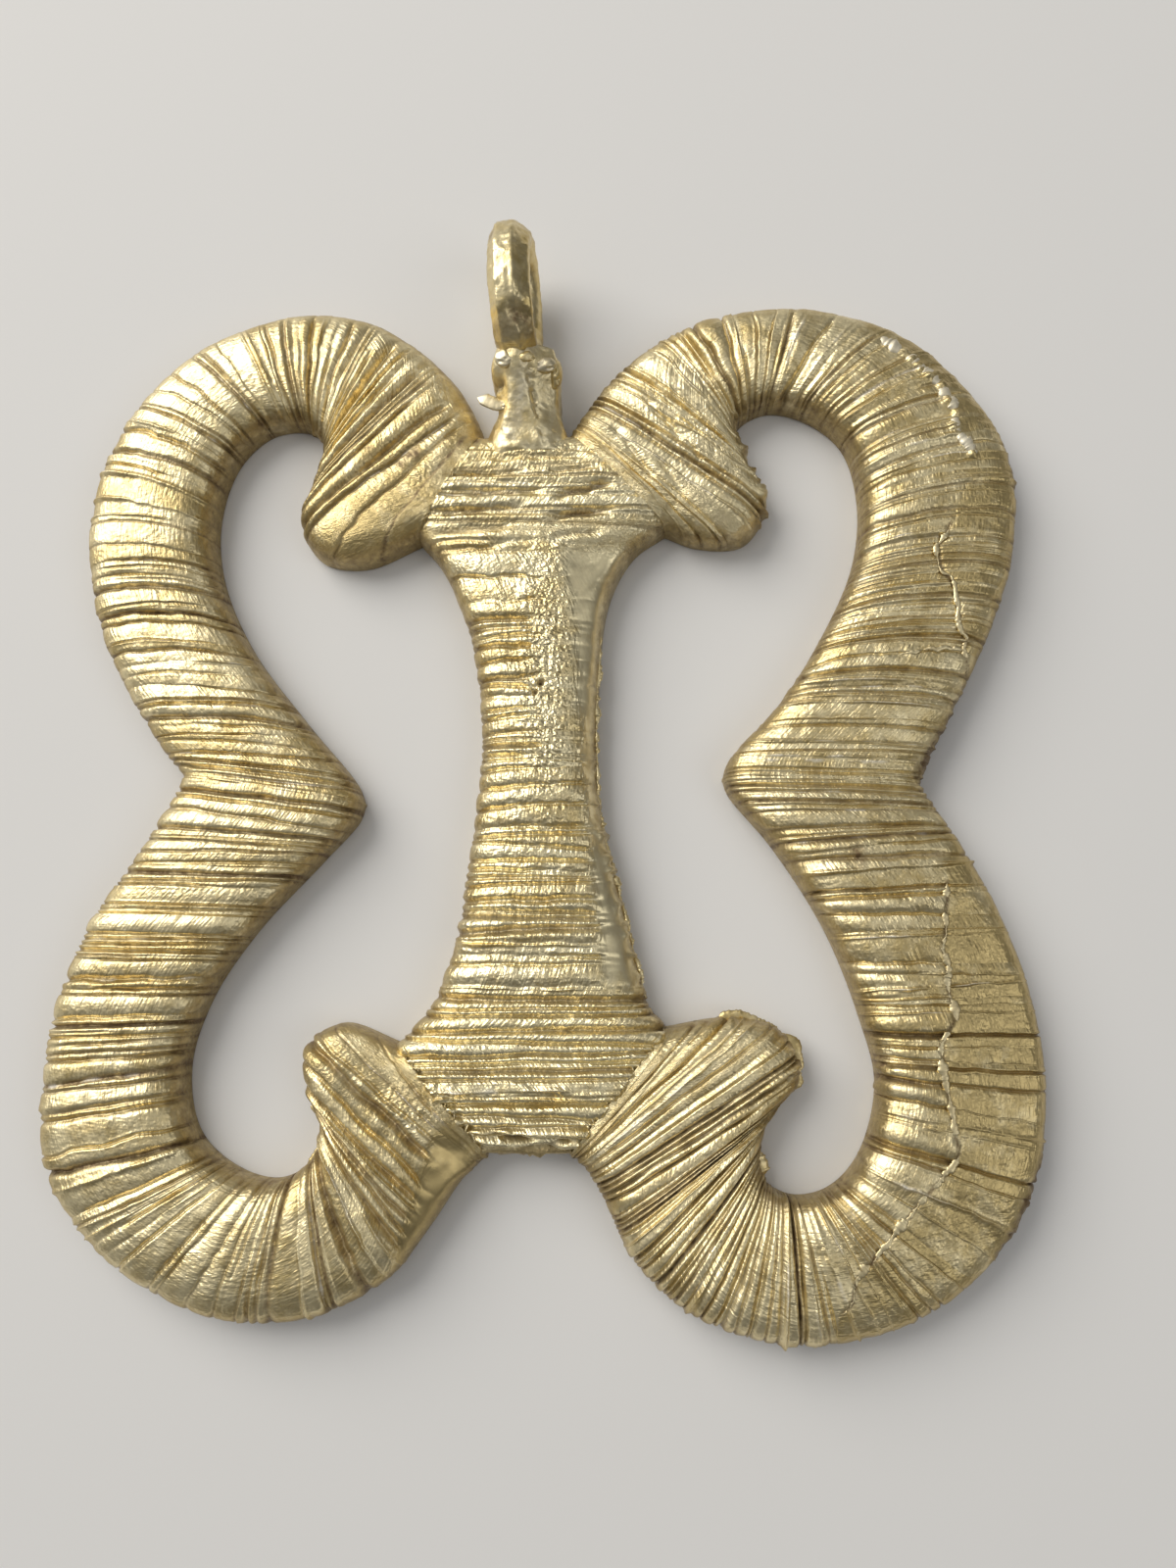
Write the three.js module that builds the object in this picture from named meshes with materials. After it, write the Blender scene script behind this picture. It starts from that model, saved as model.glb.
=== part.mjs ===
// Cast brass pendant in the shape of ram's horns: a ribbed centre spool with two curled horns on each
// side, and a bail whose ring stands on edge. It lies face up: X to the right, Y up towards the bail, Z up
// from the flat back. The origin is on the back, in the middle of the spool's waist. Millimetres.
import * as THREE from "three";

// Section of the casting, measured up from the flat back or in from the edge of the outline.
const crown_height = 3.7; // flat back to the rib tops, half way across a band
const foot_height = 0.7; // upright foot of the side wall
const edge_reach = 3.0; // edge of the outline to where its rounding ends
const edge_fullness = 2.9; // 2 would be an elliptical edge, and more is squarer
const swell_height = 0.3; // how much the middle of a wide band stands over its edges
const swell_reach = 4.6; // edge of the outline to where the swell ends

// Wax threads laid side by side make the ribs: flat ridges between narrower grooves.
const rib_pitch = 1.6;
const spool_rib_pitch = 1.5;
const rib_depth = 0.34;
const rib_profile = [
  { share: 0, relief: -0.5 }, // bottom of a groove
  { share: 0.28, relief: 0.5 }, // near side of the ridge
  { share: 0.72, relief: 0.42 }, // far side of the ridge
];
const rib_gauge = 2 / 3; // how far out across a horn the pitch is measured
const rib_fade = 0.4; // edge of the outline to where the ribs have their full depth

// The outline is drawn on a square grid, so many steps wide, and its points are in those steps.
const overall_width = 68.0; // across the horns
const outline_steps = 68.0;
const grid = overall_width / outline_steps;

// Bail: a stem that rises out of the spool's upper end, and a ring of wire welded to its tip.
const stem_length = 4.5; // spool's upper end to the ring's seat
const stem_waist_width = 4.5;
const stem_waist_share = 0.25; // of the stem's length
const stem_swell_share = 0.75;
const stem_tip_width = 5.0;
const stem_tip_depth = 4.8;
const stem_tip_height = 4.2; // flat back to the middle of the tip
const stem_facets = [
  { across: 0, top: 0.35, bottom: -0.35 }, // left edge, as shares of half the depth
  { across: 0.14, top: 0.7, bottom: -0.8 },
  { across: 0.3, top: 1, bottom: -1 }, // top facet
  { across: 0.5, top: 1, bottom: -1 },
  { across: 0.6, top: 0.78, bottom: -1 }, // groove beside it
  { across: 0.8, top: 0.5, bottom: -0.75 },
  { across: 1, top: 0.12, bottom: -0.3 }, // right edge
];
const ring_length = 10.7; // outer, along Y
const ring_height = 9.0; // outer, along Z
const ring_wire_depth = 2.3; // leaves the eye for the cord
const ring_wire_width = 3.0; // along X
const ring_floor = 0.3; // flat back to the ring's lowest point
const ring_lean = 0.06; // how far the ring leans to the left, for each millimetre of height
const ring_swing = 0.05; // how far it swings to the left, for each millimetre from the stem
const ring_seat_depth = 0.45; // flat that the weld makes on the ring's rim
const bail_offset = -1.0; // stem's middle from the part's middle line
const ring_offset = -0.5; // ring's seat from the stem's middle

// Facet counts.
const edge_steps = [0, 0.06, 0.25, 0.7]; // points on the rounding, as shares of its reach
const edge_share_limit = 0.46; // of a band's width, that the rounding of one edge may take
const gauge_steps = 600;
const horn_edge_pieces = 110;
const flank_edge_pieces = 50;
const halvings = 40; // for finding a height on a flank
const stem_sections = 9;
const ring_steps = 28;
const ring_points = 12;

const point = ([x, y]) => new THREE.Vector2(x * grid, y * grid);

// A joint between two elements is an upright plane through two points of the outline.
const left_cusp = { inner: point([-12.4, -1.1]), outer: point([-25.2, 0.7]) };
const right_cusp = { inner: point([13.1, 0.7]), outer: point([26.8, 0.2]) };
const upper_left_shoulder = { inner: point([-8.9, 18.3]), outer: point([-4.3, 26.2]) };
const lower_left_shoulder = { inner: point([-9.3, -17.7]), outer: point([-3.0, -24.9]) };
const upper_right_shoulder = { inner: point([9.1, 18.9]), outer: point([2.1, 26.2]) };
const lower_right_shoulder = { inner: point([9.0, -16.5]), outer: point([2.5, -24.9]) };

// Each horn runs from its cusp to its shoulder on the spool. A row is one thread of the wax, from the
// inner edge to the outer edge: x, y, x, y.
const threads = (rows) =>
  rows.map(([ix, iy, ox, oy]) => ({ inner: point([ix, iy]), outer: point([ox, oy]) }));

const horn_threads = {
  upper_left_horn: [
    left_cusp,
    ...threads([
      [-13.0, 0.3, -26.0, 1.6],
      [-16.9, 4.9, -28.4, 4.9],
      [-21.3, 10.6, -31.6, 10.7],
      [-23.7, 16.0, -33.1, 16.2],
      [-24.1, 20.6, -32.9, 22.6],
      [-22.8, 24.9, -30.6, 28.3],
      [-20.3, 27.2, -25.9, 33.2],
      [-17.5, 27.3, -18.4, 36.0],
      [-16.3, 25.9, -13.0, 35.4],
      [-16.5, 23.6, -9.4, 33.3],
      [-17.7, 20.2, -6.5, 30.5],
      [-17.3, 18.3, -5.1, 28.3],
      [-15.9, 16.9, -4.6, 27.2],
      [-12.8, 16.6, -4.4, 26.7],
    ]),
    upper_left_shoulder,
  ],
  lower_left_horn: [
    left_cusp,
    ...threads([
      [-12.8, -2.3, -25.7, -0.6],
      [-15.4, -5.3, -28.3, -5.0],
      [-19.8, -10.2, -31.3, -10.0],
      [-22.8, -15.0, -33.1, -15.2],
      [-24.0, -19.6, -33.6, -20.8],
      [-23.0, -23.9, -32.9, -26.3],
      [-20.0, -26.3, -28.0, -32.3],
      [-17.2, -26.8, -20.2, -35.7],
      [-15.1, -25.5, -13.8, -35.2],
      [-14.4, -23.6, -9.4, -32.8],
      [-15.4, -20.9, -6.8, -29.6],
      [-15.7, -18.1, -4.9, -26.8],
      [-13.4, -16.4, -3.5, -25.4],
    ]),
    lower_left_shoulder,
  ],
  upper_right_horn: [
    right_cusp,
    ...threads([
      [13.5, 1.9, 27.3, 1.6],
      [17.1, 6.0, 29.4, 5.6],
      [20.2, 10.8, 32.2, 11.4],
      [22.8, 16.6, 34.1, 17.4],
      [23.3, 21.6, 34.1, 24.0],
      [22.2, 25.7, 31.7, 28.9],
      [19.4, 28.0, 26.4, 33.9],
      [16.6, 28.5, 18.6, 36.1],
      [14.5, 27.1, 10.8, 34.6],
      [15.1, 24.0, 6.6, 31.9],
      [16.5, 21.0, 4.2, 29.4],
      [14.9, 18.2, 2.9, 27.4],
      [11.6, 18.0, 2.4, 26.7],
    ]),
    upper_right_shoulder,
  ],
  lower_right_horn: [
    right_cusp,
    ...threads([
      [13.5, -0.4, 27.4, -0.9],
      [16.5, -4.1, 29.0, -3.3],
      [20.0, -9.8, 32.0, -9.3],
      [22.2, -15.6, 33.8, -15.3],
      [23.2, -20.2, 34.2, -21.6],
      [21.9, -24.9, 32.2, -28.6],
      [19.7, -27.1, 26.4, -34.4],
      [17.2, -27.5, 18.0, -36.7],
      [15.4, -26.3, 11.2, -35.2],
      [15.7, -22.7, 7.0, -31.9],
      [18.0, -19.6, 4.8, -27.9],
      [16.4, -16.5, 3.6, -25.9],
      [12.8, -15.9, 2.9, -25.2],
    ]),
    lower_right_shoulder,
  ],
};

// Flanks of the spool between its shoulders, from the lower end up.
const spool_left_flank = [
  [-7.0, -15.0], [-5.7, -11.5], [-4.7, -5.0], [-4.0, 1.5], [-4.2, 7.0], [-5.3, 12.0], [-7.3, 16.4],
].map(point);
const spool_right_flank = [
  [7.7, -14.9], [6.5, -10.0], [5.2, -5.0], [4.2, 0.5], [4.3, 7.0], [5.0, 13.6], [6.8, 17.2],
].map(point);

const spool_top = upper_left_shoulder.outer.y;
const spool_bottom = lower_left_shoulder.outer.y;
const seat_y = spool_top + stem_length;

// Smooth curve through points of the outline, in the plane of the back.
const rail = (points) =>
  new THREE.CatmullRomCurve3(points.map((p) => new THREE.Vector3(p.x, p.y, 0)), false, "centripetal");

const at = (curve, share) => {
  const p = curve.getPoint(share);
  return new THREE.Vector2(p.x, p.y);
};

// Sections of a ribbed band of the given length: how far along each lies, and how far it stands over the
// skin or under it. The two end sections are level with the skin, so that neighbours meet there.
function rib_sections(length, pitch) {
  const ribs = Math.max(2, Math.round(length / pitch));
  const sections = [];
  for (let rib = 0; rib < ribs; rib++) {
    for (const { share, relief } of rib_profile) {
      sections.push({ run: (length * (rib + share)) / ribs, relief: relief * rib_depth });
    }
  }
  sections[0].relief = 0;
  sections.push({ run: length, relief: 0 });
  return sections;
}

// Sections of a horn, each with its share of the rails' length. The pitch is even some way out, where the
// threads are nearly their own width apart.
function horn_sections(inner, outer) {
  const gauge = (share) => at(inner, share).lerp(at(outer, share), rib_gauge);
  const run = [0];
  for (let i = 1; i <= gauge_steps; i++) {
    run.push(run[i - 1] + gauge(i / gauge_steps).distanceTo(gauge((i - 1) / gauge_steps)));
  }
  return rib_sections(run[gauge_steps], rib_pitch).map((section) => {
    const after = Math.max(1, run.findIndex((length) => length >= section.run - 1e-9));
    const within = (section.run - run[after - 1]) / (run[after] - run[after - 1]);
    return { share: (after - 1 + within) / gauge_steps, relief: section.relief };
  });
}

const horns = Object.entries(horn_threads).map(([name, rows]) => {
  const inner = rail(rows.map((row) => row.inner));
  const outer = rail(rows.map((row) => row.outer));
  return { name, inner, outer };
});

const left_flank = rail([lower_left_shoulder.inner, ...spool_left_flank, upper_left_shoulder.inner]);
const right_flank = rail([lower_right_shoulder.inner, ...spool_right_flank, upper_right_shoulder.inner]);

// Edges of the stem, from the spool's corners to the tip: the foot flares, and the tip swells again.
const stem_edge = (corner, side) =>
  rail([
    corner,
    new THREE.Vector2(
      bail_offset + (side * stem_waist_width) / 2, spool_top + stem_length * stem_waist_share),
    new THREE.Vector2(
      bail_offset + (side * stem_tip_width) / 2, spool_top + stem_length * stem_swell_share),
    new THREE.Vector2(bail_offset + (side * stem_tip_width) / 2, seat_y),
  ]);
const stem_left = stem_edge(upper_left_shoulder.outer, -1);
const stem_right = stem_edge(upper_right_shoulder.outer, 1);

// Free edges of the whole casting, as short straight pieces, for measuring how far a point lies inside.
const edge_pieces = [];
function add_edge(curve, count) {
  const points = Array.from({ length: count + 1 }, (_, i) => at(curve, i / count));
  points.slice(1).forEach((p, i) => edge_pieces.push([points[i], p]));
}
for (const horn of horns) {
  add_edge(horn.inner, horn_edge_pieces);
  add_edge(horn.outer, horn_edge_pieces);
}
[left_flank, right_flank, stem_left, stem_right].forEach((curve) => add_edge(curve, flank_edge_pieces));
edge_pieces.push([lower_left_shoulder.outer, lower_right_shoulder.outer]);

function inset_of(p) {
  let least = Infinity;
  for (const [a, b] of edge_pieces) {
    const along = new THREE.Vector2().subVectors(b, a);
    const share = THREE.MathUtils.clamp(
      new THREE.Vector2().subVectors(p, a).dot(along) / Math.max(along.lengthSq(), 1e-12), 0, 1);
    least = Math.min(least, p.distanceTo(along.multiplyScalar(share).add(a)));
  }
  return least;
}

// Height of the casting's skin over a point that lies so far inside the outline: the upright foot, the
// edge rounded as a superellipse, and the slight swell of a wide band.
function skin_height(inset) {
  const share = Math.min(1, inset / edge_reach);
  const rise = (1 - (1 - share) ** edge_fullness) ** (1 / edge_fullness);
  const swell = Math.min(1, inset / swell_reach);
  return (
    foot_height +
    (crown_height - swell_height - foot_height) * rise +
    swell_height * swell * swell * (3 - 2 * swell)
  );
}

// Cross-section of a band from its inner to its outer edge, flat below. Relief lifts a ridge or sinks a
// groove, and fades out towards the edges.
function band_section(inner, outer, relief) {
  const width = inner.distanceTo(outer);
  const edge_shares = edge_steps.map((share) => Math.min((share * edge_reach) / width, edge_share_limit));
  const shares = [...edge_shares, 0.5, ...edge_shares.map((share) => 1 - share).reverse()];
  const section = [new THREE.Vector3(inner.x, inner.y, 0)];
  for (const share of shares) {
    const p = inner.clone().lerp(outer, share);
    const inset = inset_of(p);
    const fade = Math.min(1, inset / rib_fade);
    section.push(new THREE.Vector3(p.x, p.y, skin_height(inset) + relief * fade));
  }
  section.push(new THREE.Vector3(outer.x, outer.y, 0));
  return section;
}

// Solid through a row of matching cross-sections, with both ends closed. A fan from a point in the middle
// of the end closes it, as every end section is seen whole from there.
function loft(sections) {
  const count = sections[0].length;
  const positions = sections.flatMap((section) => section.flatMap((p) => [p.x, p.y, p.z]));
  const index = [];
  for (let s = 0; s + 1 < sections.length; s++) {
    for (let i = 0; i < count; i++) {
      const a = s * count + i;
      const b = s * count + ((i + 1) % count);
      index.push(a, b, b + count, a, b + count, a + count);
    }
  }
  for (const [section, start, outward] of [
    [sections[0], 0, false],
    [sections.at(-1), (sections.length - 1) * count, true],
  ]) {
    const middle = section.reduce((sum, p) => sum.add(p), new THREE.Vector3()).divideScalar(count);
    const hub = positions.length / 3;
    positions.push(middle.x, middle.y, middle.z);
    for (let i = 0; i < count; i++) {
      const a = start + i;
      const b = start + ((i + 1) % count);
      index.push(hub, ...(outward ? [a, b] : [b, a]));
    }
  }
  return solid(positions, index);
}

// Closed body from shared corners and triangles, turned so that its faces point out.
function solid(positions, index) {
  const geometry = new THREE.BufferGeometry();
  geometry.setAttribute("position", new THREE.Float32BufferAttribute(positions, 3));
  geometry.setIndex(index);
  if (signed_volume(geometry) < 0) {
    geometry.index.array.reverse();
  }
  geometry.computeVertexNormals();
  return geometry;
}

function signed_volume(geometry) {
  const position = geometry.attributes.position;
  const [a, b, c] = [new THREE.Vector3(), new THREE.Vector3(), new THREE.Vector3()];
  let volume = 0;
  for (let i = 0; i < geometry.index.count; i += 3) {
    a.fromBufferAttribute(position, geometry.index.getX(i));
    b.fromBufferAttribute(position, geometry.index.getX(i + 1));
    c.fromBufferAttribute(position, geometry.index.getX(i + 2));
    volume += a.dot(b.cross(c)) / 6;
  }
  return volume;
}

function horn_geometry({ inner, outer }) {
  return loft(
    horn_sections(inner, outer).map(({ share, relief }) =>
      band_section(at(inner, share), at(outer, share), relief)));
}

// Left or right edge of the spool at a height on the part: a shoulder line, the flank, a shoulder line.
function spool_edge(y, lower, upper, flank) {
  const on_line = ({ inner, outer }) => inner.clone().lerp(outer, (y - inner.y) / (outer.y - inner.y));
  if (y <= lower.inner.y) {
    return on_line(lower);
  }
  if (y >= upper.inner.y) {
    return on_line(upper);
  }
  let [low, high] = [0, 1];
  for (let i = 0; i < halvings; i++) {
    const middle = (low + high) / 2;
    [low, high] = flank.getPoint(middle).y < y ? [middle, high] : [low, middle];
  }
  return at(flank, (low + high) / 2);
}

function spool_geometry() {
  const sections = rib_sections(spool_top - spool_bottom, spool_rib_pitch);
  return loft(
    sections.map(({ run, relief }) => {
      const y = spool_bottom + run;
      return band_section(
        spool_edge(y, lower_left_shoulder, upper_left_shoulder, left_flank),
        spool_edge(y, lower_right_shoulder, upper_right_shoulder, right_flank),
        relief);
    }));
}

// The stem's foot has the section of the spool's end, and its tip is a faceted bar that takes the ring.
function stem_geometry() {
  const sections = [];
  for (let k = 0; k <= stem_sections; k++) {
    const share = k / stem_sections;
    const rise = share * share * (3 - 2 * share);
    const [left, right] = [at(stem_left, share), at(stem_right, share)];
    const y = spool_top + stem_length * share;
    const corner = (p, foot, facet) => {
      const tip = stem_tip_height + (facet * stem_tip_depth) / 2;
      return new THREE.Vector3(p.x, y, THREE.MathUtils.lerp(foot, tip, rise));
    };
    const upper = [];
    const lower = [];
    for (const { across, top, bottom } of stem_facets) {
      const p = left.clone().lerp(right, across);
      upper.push(corner(p, skin_height(inset_of(p)), top));
      lower.push(corner(p, 0, bottom));
    }
    sections.push([...upper, ...lower.reverse()]);
  }
  return loft(sections);
}

// The ring stands on edge, an oval loop near the plane of Y and Z. Its rim is flat where it is welded on.
function ring_geometry() {
  const middle_y = seat_y + ring_length / 2 - ring_seat_depth;
  const middle_z = ring_floor + ring_height / 2;
  const positions = [];
  const index = [];
  for (let k = 0; k < ring_steps; k++) {
    const turn = (2 * Math.PI * k) / ring_steps;
    for (let i = 0; i < ring_points; i++) {
      const round = (2 * Math.PI * i) / ring_points;
      const out = (ring_wire_depth / 2) * (Math.cos(round) - 1);
      const y = Math.max(seat_y, middle_y + (ring_length / 2 + out) * Math.cos(turn));
      const z = middle_z + (ring_height / 2 + out) * Math.sin(turn);
      const middle_x = bail_offset + ring_offset - ring_swing * (y - seat_y) - ring_lean * (z - middle_z);
      positions.push(middle_x + (ring_wire_width / 2) * Math.sin(round), y, z);
      const next = (k + 1) % ring_steps;
      const beside = (i + 1) % ring_points;
      const [a, b] = [k * ring_points + i, k * ring_points + beside];
      const [c, d] = [next * ring_points + beside, next * ring_points + i];
      index.push(a, b, c, a, c, d);
    }
  }
  return solid(positions, index);
}

const brass = (colour, roughness) =>
  new THREE.MeshStandardMaterial({ color: colour, metalness: 1, roughness });

function piece(name, geometry, material) {
  const mesh = new THREE.Mesh(geometry, material);
  mesh.name = name;
  return mesh;
}

const pendant = new THREE.Group();
pendant.add(piece("centre_spool", spool_geometry(), brass(0xcdb46c, 0.34)));
for (const horn of horns) {
  pendant.add(piece(horn.name, horn_geometry(horn), brass(0xc9b068, 0.36)));
}
pendant.add(piece("bail_stem", stem_geometry(), brass(0xcfb670, 0.3)));
pendant.add(piece("bail_ring", ring_geometry(), brass(0xc2a65c, 0.28)));

export default pendant;
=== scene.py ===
"""Cast brass pendant: four curled ram's horns round a ribbed spool, with a bail whose ring stands on edge.

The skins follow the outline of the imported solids. They are worked out in millimetres on sheets of
points, one row across the wax threads at a time, and a grid of bmesh is then wrapped over each sheet.
"""
import math
import random

import bmesh
import bpy
import numpy as np
from mathutils import Matrix, Vector, kdtree


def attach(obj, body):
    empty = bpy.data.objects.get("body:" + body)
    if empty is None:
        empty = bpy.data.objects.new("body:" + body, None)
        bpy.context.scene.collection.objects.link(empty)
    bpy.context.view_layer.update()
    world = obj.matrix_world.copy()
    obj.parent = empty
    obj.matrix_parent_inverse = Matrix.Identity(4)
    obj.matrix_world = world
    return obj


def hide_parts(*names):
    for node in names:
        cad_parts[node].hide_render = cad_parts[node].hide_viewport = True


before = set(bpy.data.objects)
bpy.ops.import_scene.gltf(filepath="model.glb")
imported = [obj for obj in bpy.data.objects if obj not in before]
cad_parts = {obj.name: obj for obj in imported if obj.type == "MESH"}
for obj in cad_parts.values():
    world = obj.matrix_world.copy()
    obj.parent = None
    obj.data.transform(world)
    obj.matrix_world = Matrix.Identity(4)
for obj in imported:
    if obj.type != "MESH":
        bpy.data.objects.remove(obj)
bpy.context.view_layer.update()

MM = 0.001
scene = bpy.context.scene

# Camera, in millimetres: nearly square over the pendant, a little below its middle.
CAMERA_PLACE = (6.151, -12.028, 80.0)
CAMERA_RIGHT = (0.99947, 0.00502, -0.03204)
CAMERA_UP = (0.0, 0.98796, 0.1547)
CAMERA_BACK = (0.03243, -0.15462, 0.98744)
LENS = 25.875

# Section of the casting, in millimetres: a rolled edge that rises to a nearly level crown.
CROWN_HEIGHT = 3.7
FOOT_HEIGHT = 0.7
EDGE_REACH = 3.0
EDGE_FULLNESS = 2.9
SWELL_HEIGHT = 0.3
SWELL_REACH = 4.6
BACK_EDGE = 0.12
WALL_FOOT = 0.4

# Sampling of the skins: columns at fixed distances from the edges, rows that follow the wax threads.
EDGE_INSETS = (0, 0.06, 0.14, 0.24, 0.36, 0.5, 0.66, 0.85, 1.1, 1.4, 1.75, 2.1, 2.45)
MIDDLE_POINTS = 46
NARROW_LAND_ROWS = (0, 0.06, 0.13, 0.22, 0.36, 0.5, 0.64, 0.78, 0.87, 0.94)
WIDE_LAND_ROWS = (0, 0.03, 0.06, 0.1, 0.15, 0.23, 0.36, 0.5, 0.64, 0.77, 0.85, 0.9, 0.94, 0.97)
NARROW_LAND = 0.7
EDGE_SPACING = 0.03
CURVE_SHARES = np.linspace(0, 1, 600)
FIELD_CELLS = 128

# How far out across a horn the pitch of its ribs is measured, and how far a skin runs into its neighbour.
RIB_GAUGE = 2 / 3
WELD_OVERLAP = 0.08

# Joints between the wax elements: inner and outer point of each cusp and each shoulder of the spool.
LEFT_CUSP = (-12.4, -1.1, -25.2, 0.7)
RIGHT_CUSP = (13.1, 0.7, 26.8, 0.2)
UPPER_LEFT = (-8.9, 18.3, -4.3, 26.2)
LOWER_LEFT = (-9.3, -17.7, -3, -24.9)
UPPER_RIGHT = (9.1, 18.9, 2.1, 26.2)
LOWER_RIGHT = (9, -16.5, 2.5, -24.9)

# A row is one wax thread from the inner edge to the outer edge: x, y, x, y.
HORN_THREADS = {
    "upper_left_horn": (
        LEFT_CUSP,
        (-13, 0.3, -26, 1.6), (-16.9, 4.9, -28.4, 4.9), (-21.3, 10.6, -31.6, 10.7),
        (-23.7, 16, -33.1, 16.2), (-24.1, 20.6, -32.9, 22.6), (-22.8, 24.9, -30.6, 28.3),
        (-20.3, 27.2, -25.9, 33.2), (-17.5, 27.3, -18.4, 36), (-16.3, 25.9, -13, 35.4),
        (-16.5, 23.6, -9.4, 33.3), (-17.7, 20.2, -6.5, 30.5), (-17.3, 18.3, -5.1, 28.3),
        (-15.9, 16.9, -4.6, 27.2), (-12.8, 16.6, -4.4, 26.7), UPPER_LEFT,
    ),
    "lower_left_horn": (
        LEFT_CUSP,
        (-12.8, -2.3, -25.7, -0.6), (-15.4, -5.3, -28.3, -5), (-19.8, -10.2, -31.3, -10),
        (-22.8, -15, -33.1, -15.2), (-24, -19.6, -33.6, -20.8), (-23, -23.9, -32.9, -26.3),
        (-20, -26.3, -28, -32.3), (-17.2, -26.8, -20.2, -35.7), (-15.1, -25.5, -13.8, -35.2),
        (-14.4, -23.6, -9.4, -32.8), (-15.4, -20.9, -6.8, -29.6), (-15.7, -18.1, -4.9, -26.8),
        (-13.4, -16.4, -3.5, -25.4), LOWER_LEFT,
    ),
    "upper_right_horn": (
        RIGHT_CUSP,
        (13.5, 1.9, 27.3, 1.6), (17.1, 6, 29.4, 5.6), (20.2, 10.8, 32.2, 11.4), (22.8, 16.6, 34.1, 17.4),
        (23.3, 21.6, 34.1, 24), (22.2, 25.7, 31.7, 28.9), (19.4, 28, 26.4, 33.9), (16.6, 28.5, 18.6, 36.1),
        (14.5, 27.1, 10.8, 34.6), (15.1, 24, 6.6, 31.9), (16.5, 21, 4.2, 29.4), (14.9, 18.2, 2.9, 27.4),
        (11.6, 18, 2.4, 26.7), UPPER_RIGHT,
    ),
    "lower_right_horn": (
        RIGHT_CUSP,
        (13.5, -0.4, 27.4, -0.9), (16.5, -4.1, 29, -3.3), (20, -9.8, 32, -9.3), (22.2, -15.6, 33.8, -15.3),
        (23.2, -20.2, 34.2, -21.6), (21.9, -24.9, 32.2, -28.6), (19.7, -27.1, 26.4, -34.4),
        (17.2, -27.5, 18, -36.7), (15.4, -26.3, 11.2, -35.2), (15.7, -22.7, 7, -31.9),
        (18, -19.6, 4.8, -27.9), (16.4, -16.5, 3.6, -25.9), (12.8, -15.9, 2.9, -25.2), LOWER_RIGHT,
    ),
}

# Flanks of the spool between its shoulders, from the lower end up.
SPOOL_LEFT_FLANK = (
    (-7, -15), (-5.7, -11.5), (-4.7, -5), (-4, 1.5), (-4.2, 7), (-5.3, 12), (-7.3, 16.4),
)
SPOOL_RIGHT_FLANK = (
    (7.7, -14.9), (6.5, -10), (5.2, -5), (4.2, 0.5), (4.3, 7), (5, 13.6), (6.8, 17.2),
)

# Edges of the stem's foot, where the skin of the spool runs on into it.
STEM_LEFT_EDGE = ((-4.3, 26.2), (-3.25, 27.3), (-3.5, 29.6), (-3.5, 30.7))
STEM_RIGHT_EDGE = ((2.1, 26.2), (1.25, 27.3), (1.5, 29.6), (1.5, 30.7))


def along_curve(points, shares=CURVE_SHARES):
    """Points at shares of a centripetal Catmull-Rom curve, each span taking an equal share."""
    given = np.array(points, float)
    knots = np.vstack([2 * given[0] - given[1], given, 2 * given[-1] - given[-2]])
    spans = len(given) - 1
    place = np.clip(np.asarray(shares, float), 0, 1) * spans
    span = np.minimum(place.astype(int), spans - 1)
    t = (place - span)[:, None]
    p0, p1, p2, p3 = (knots[span + k] for k in range(4))
    d0, d1, d2 = (
        np.sqrt(np.linalg.norm(b - a, axis=1))[:, None] for a, b in ((p0, p1), (p1, p2), (p2, p3))
    )
    m1 = ((p1 - p0) / d0 - (p2 - p0) / (d0 + d1) + (p2 - p1) / d1) * d1
    m2 = ((p2 - p1) / d1 - (p3 - p1) / (d1 + d2) + (p3 - p2) / d2) * d1
    return p1 + m1 * t + (3 * (p2 - p1) - 2 * m1 - m2) * t**2 + (2 * (p1 - p2) + m1 + m2) * t**3


def smooth_step(value, low, high):
    """From 0 at low and below to 1 at high and above."""
    share = np.clip((value - low) / (high - low), 0, 1)
    return share * share * (3 - 2 * share)


def between(value, low, full, falls, gone):
    """From 0 at low up to 1 at full, and from 1 at falls down to 0 at gone."""
    return smooth_step(value, low, full) * (1 - smooth_step(value, falls, gone))


def bell(*offsets):
    """1 where every offset is 0, and falling off smoothly round it."""
    return np.exp(-sum(offset**2 for offset in offsets))


def mottle(x, y, seed):
    """Smooth random field from -1 to 1 whose features are about one unit across."""
    table = np.random.default_rng(seed).uniform(-1, 1, (FIELD_CELLS, FIELD_CELLS))
    column, row = np.floor(x).astype(int), np.floor(y).astype(int)
    across, up = smooth_step(x - column, 0, 1), smooth_step(y - row, 0, 1)
    corner = [[table[(column + i) % FIELD_CELLS, (row + j) % FIELD_CELLS] for j in (0, 1)] for i in (0, 1)]
    low = corner[0][0] * (1 - across) + corner[1][0] * across
    high = corner[0][1] * (1 - across) + corner[1][1] * across
    return low * (1 - up) + high * up


def crumple(x, y, size, seed):
    """Two octaves of the random field, with features of the given size in millimetres."""
    return 0.7 * mottle(x / size, y / size, seed) + 0.3 * mottle(x * 2.3 / size, y * 2.3 / size, seed + 1)


def run_along(line):
    """How far along a line of points each of them lies."""
    return np.concatenate([[0], np.cumsum(np.linalg.norm(np.diff(line, axis=0), axis=1))])


def points_along(line, wanted):
    """Points at the wanted distances along a line of points."""
    run = run_along(line)
    return np.column_stack([np.interp(wanted, run, line[:, axis]) for axis in (0, 1)])


def resampled(points, spacing):
    """Evenly spaced points on the curve through some points."""
    line = along_curve(points)
    length = run_along(line)[-1]
    return points_along(line, np.linspace(0, length, int(length / spacing) + 2))


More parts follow.
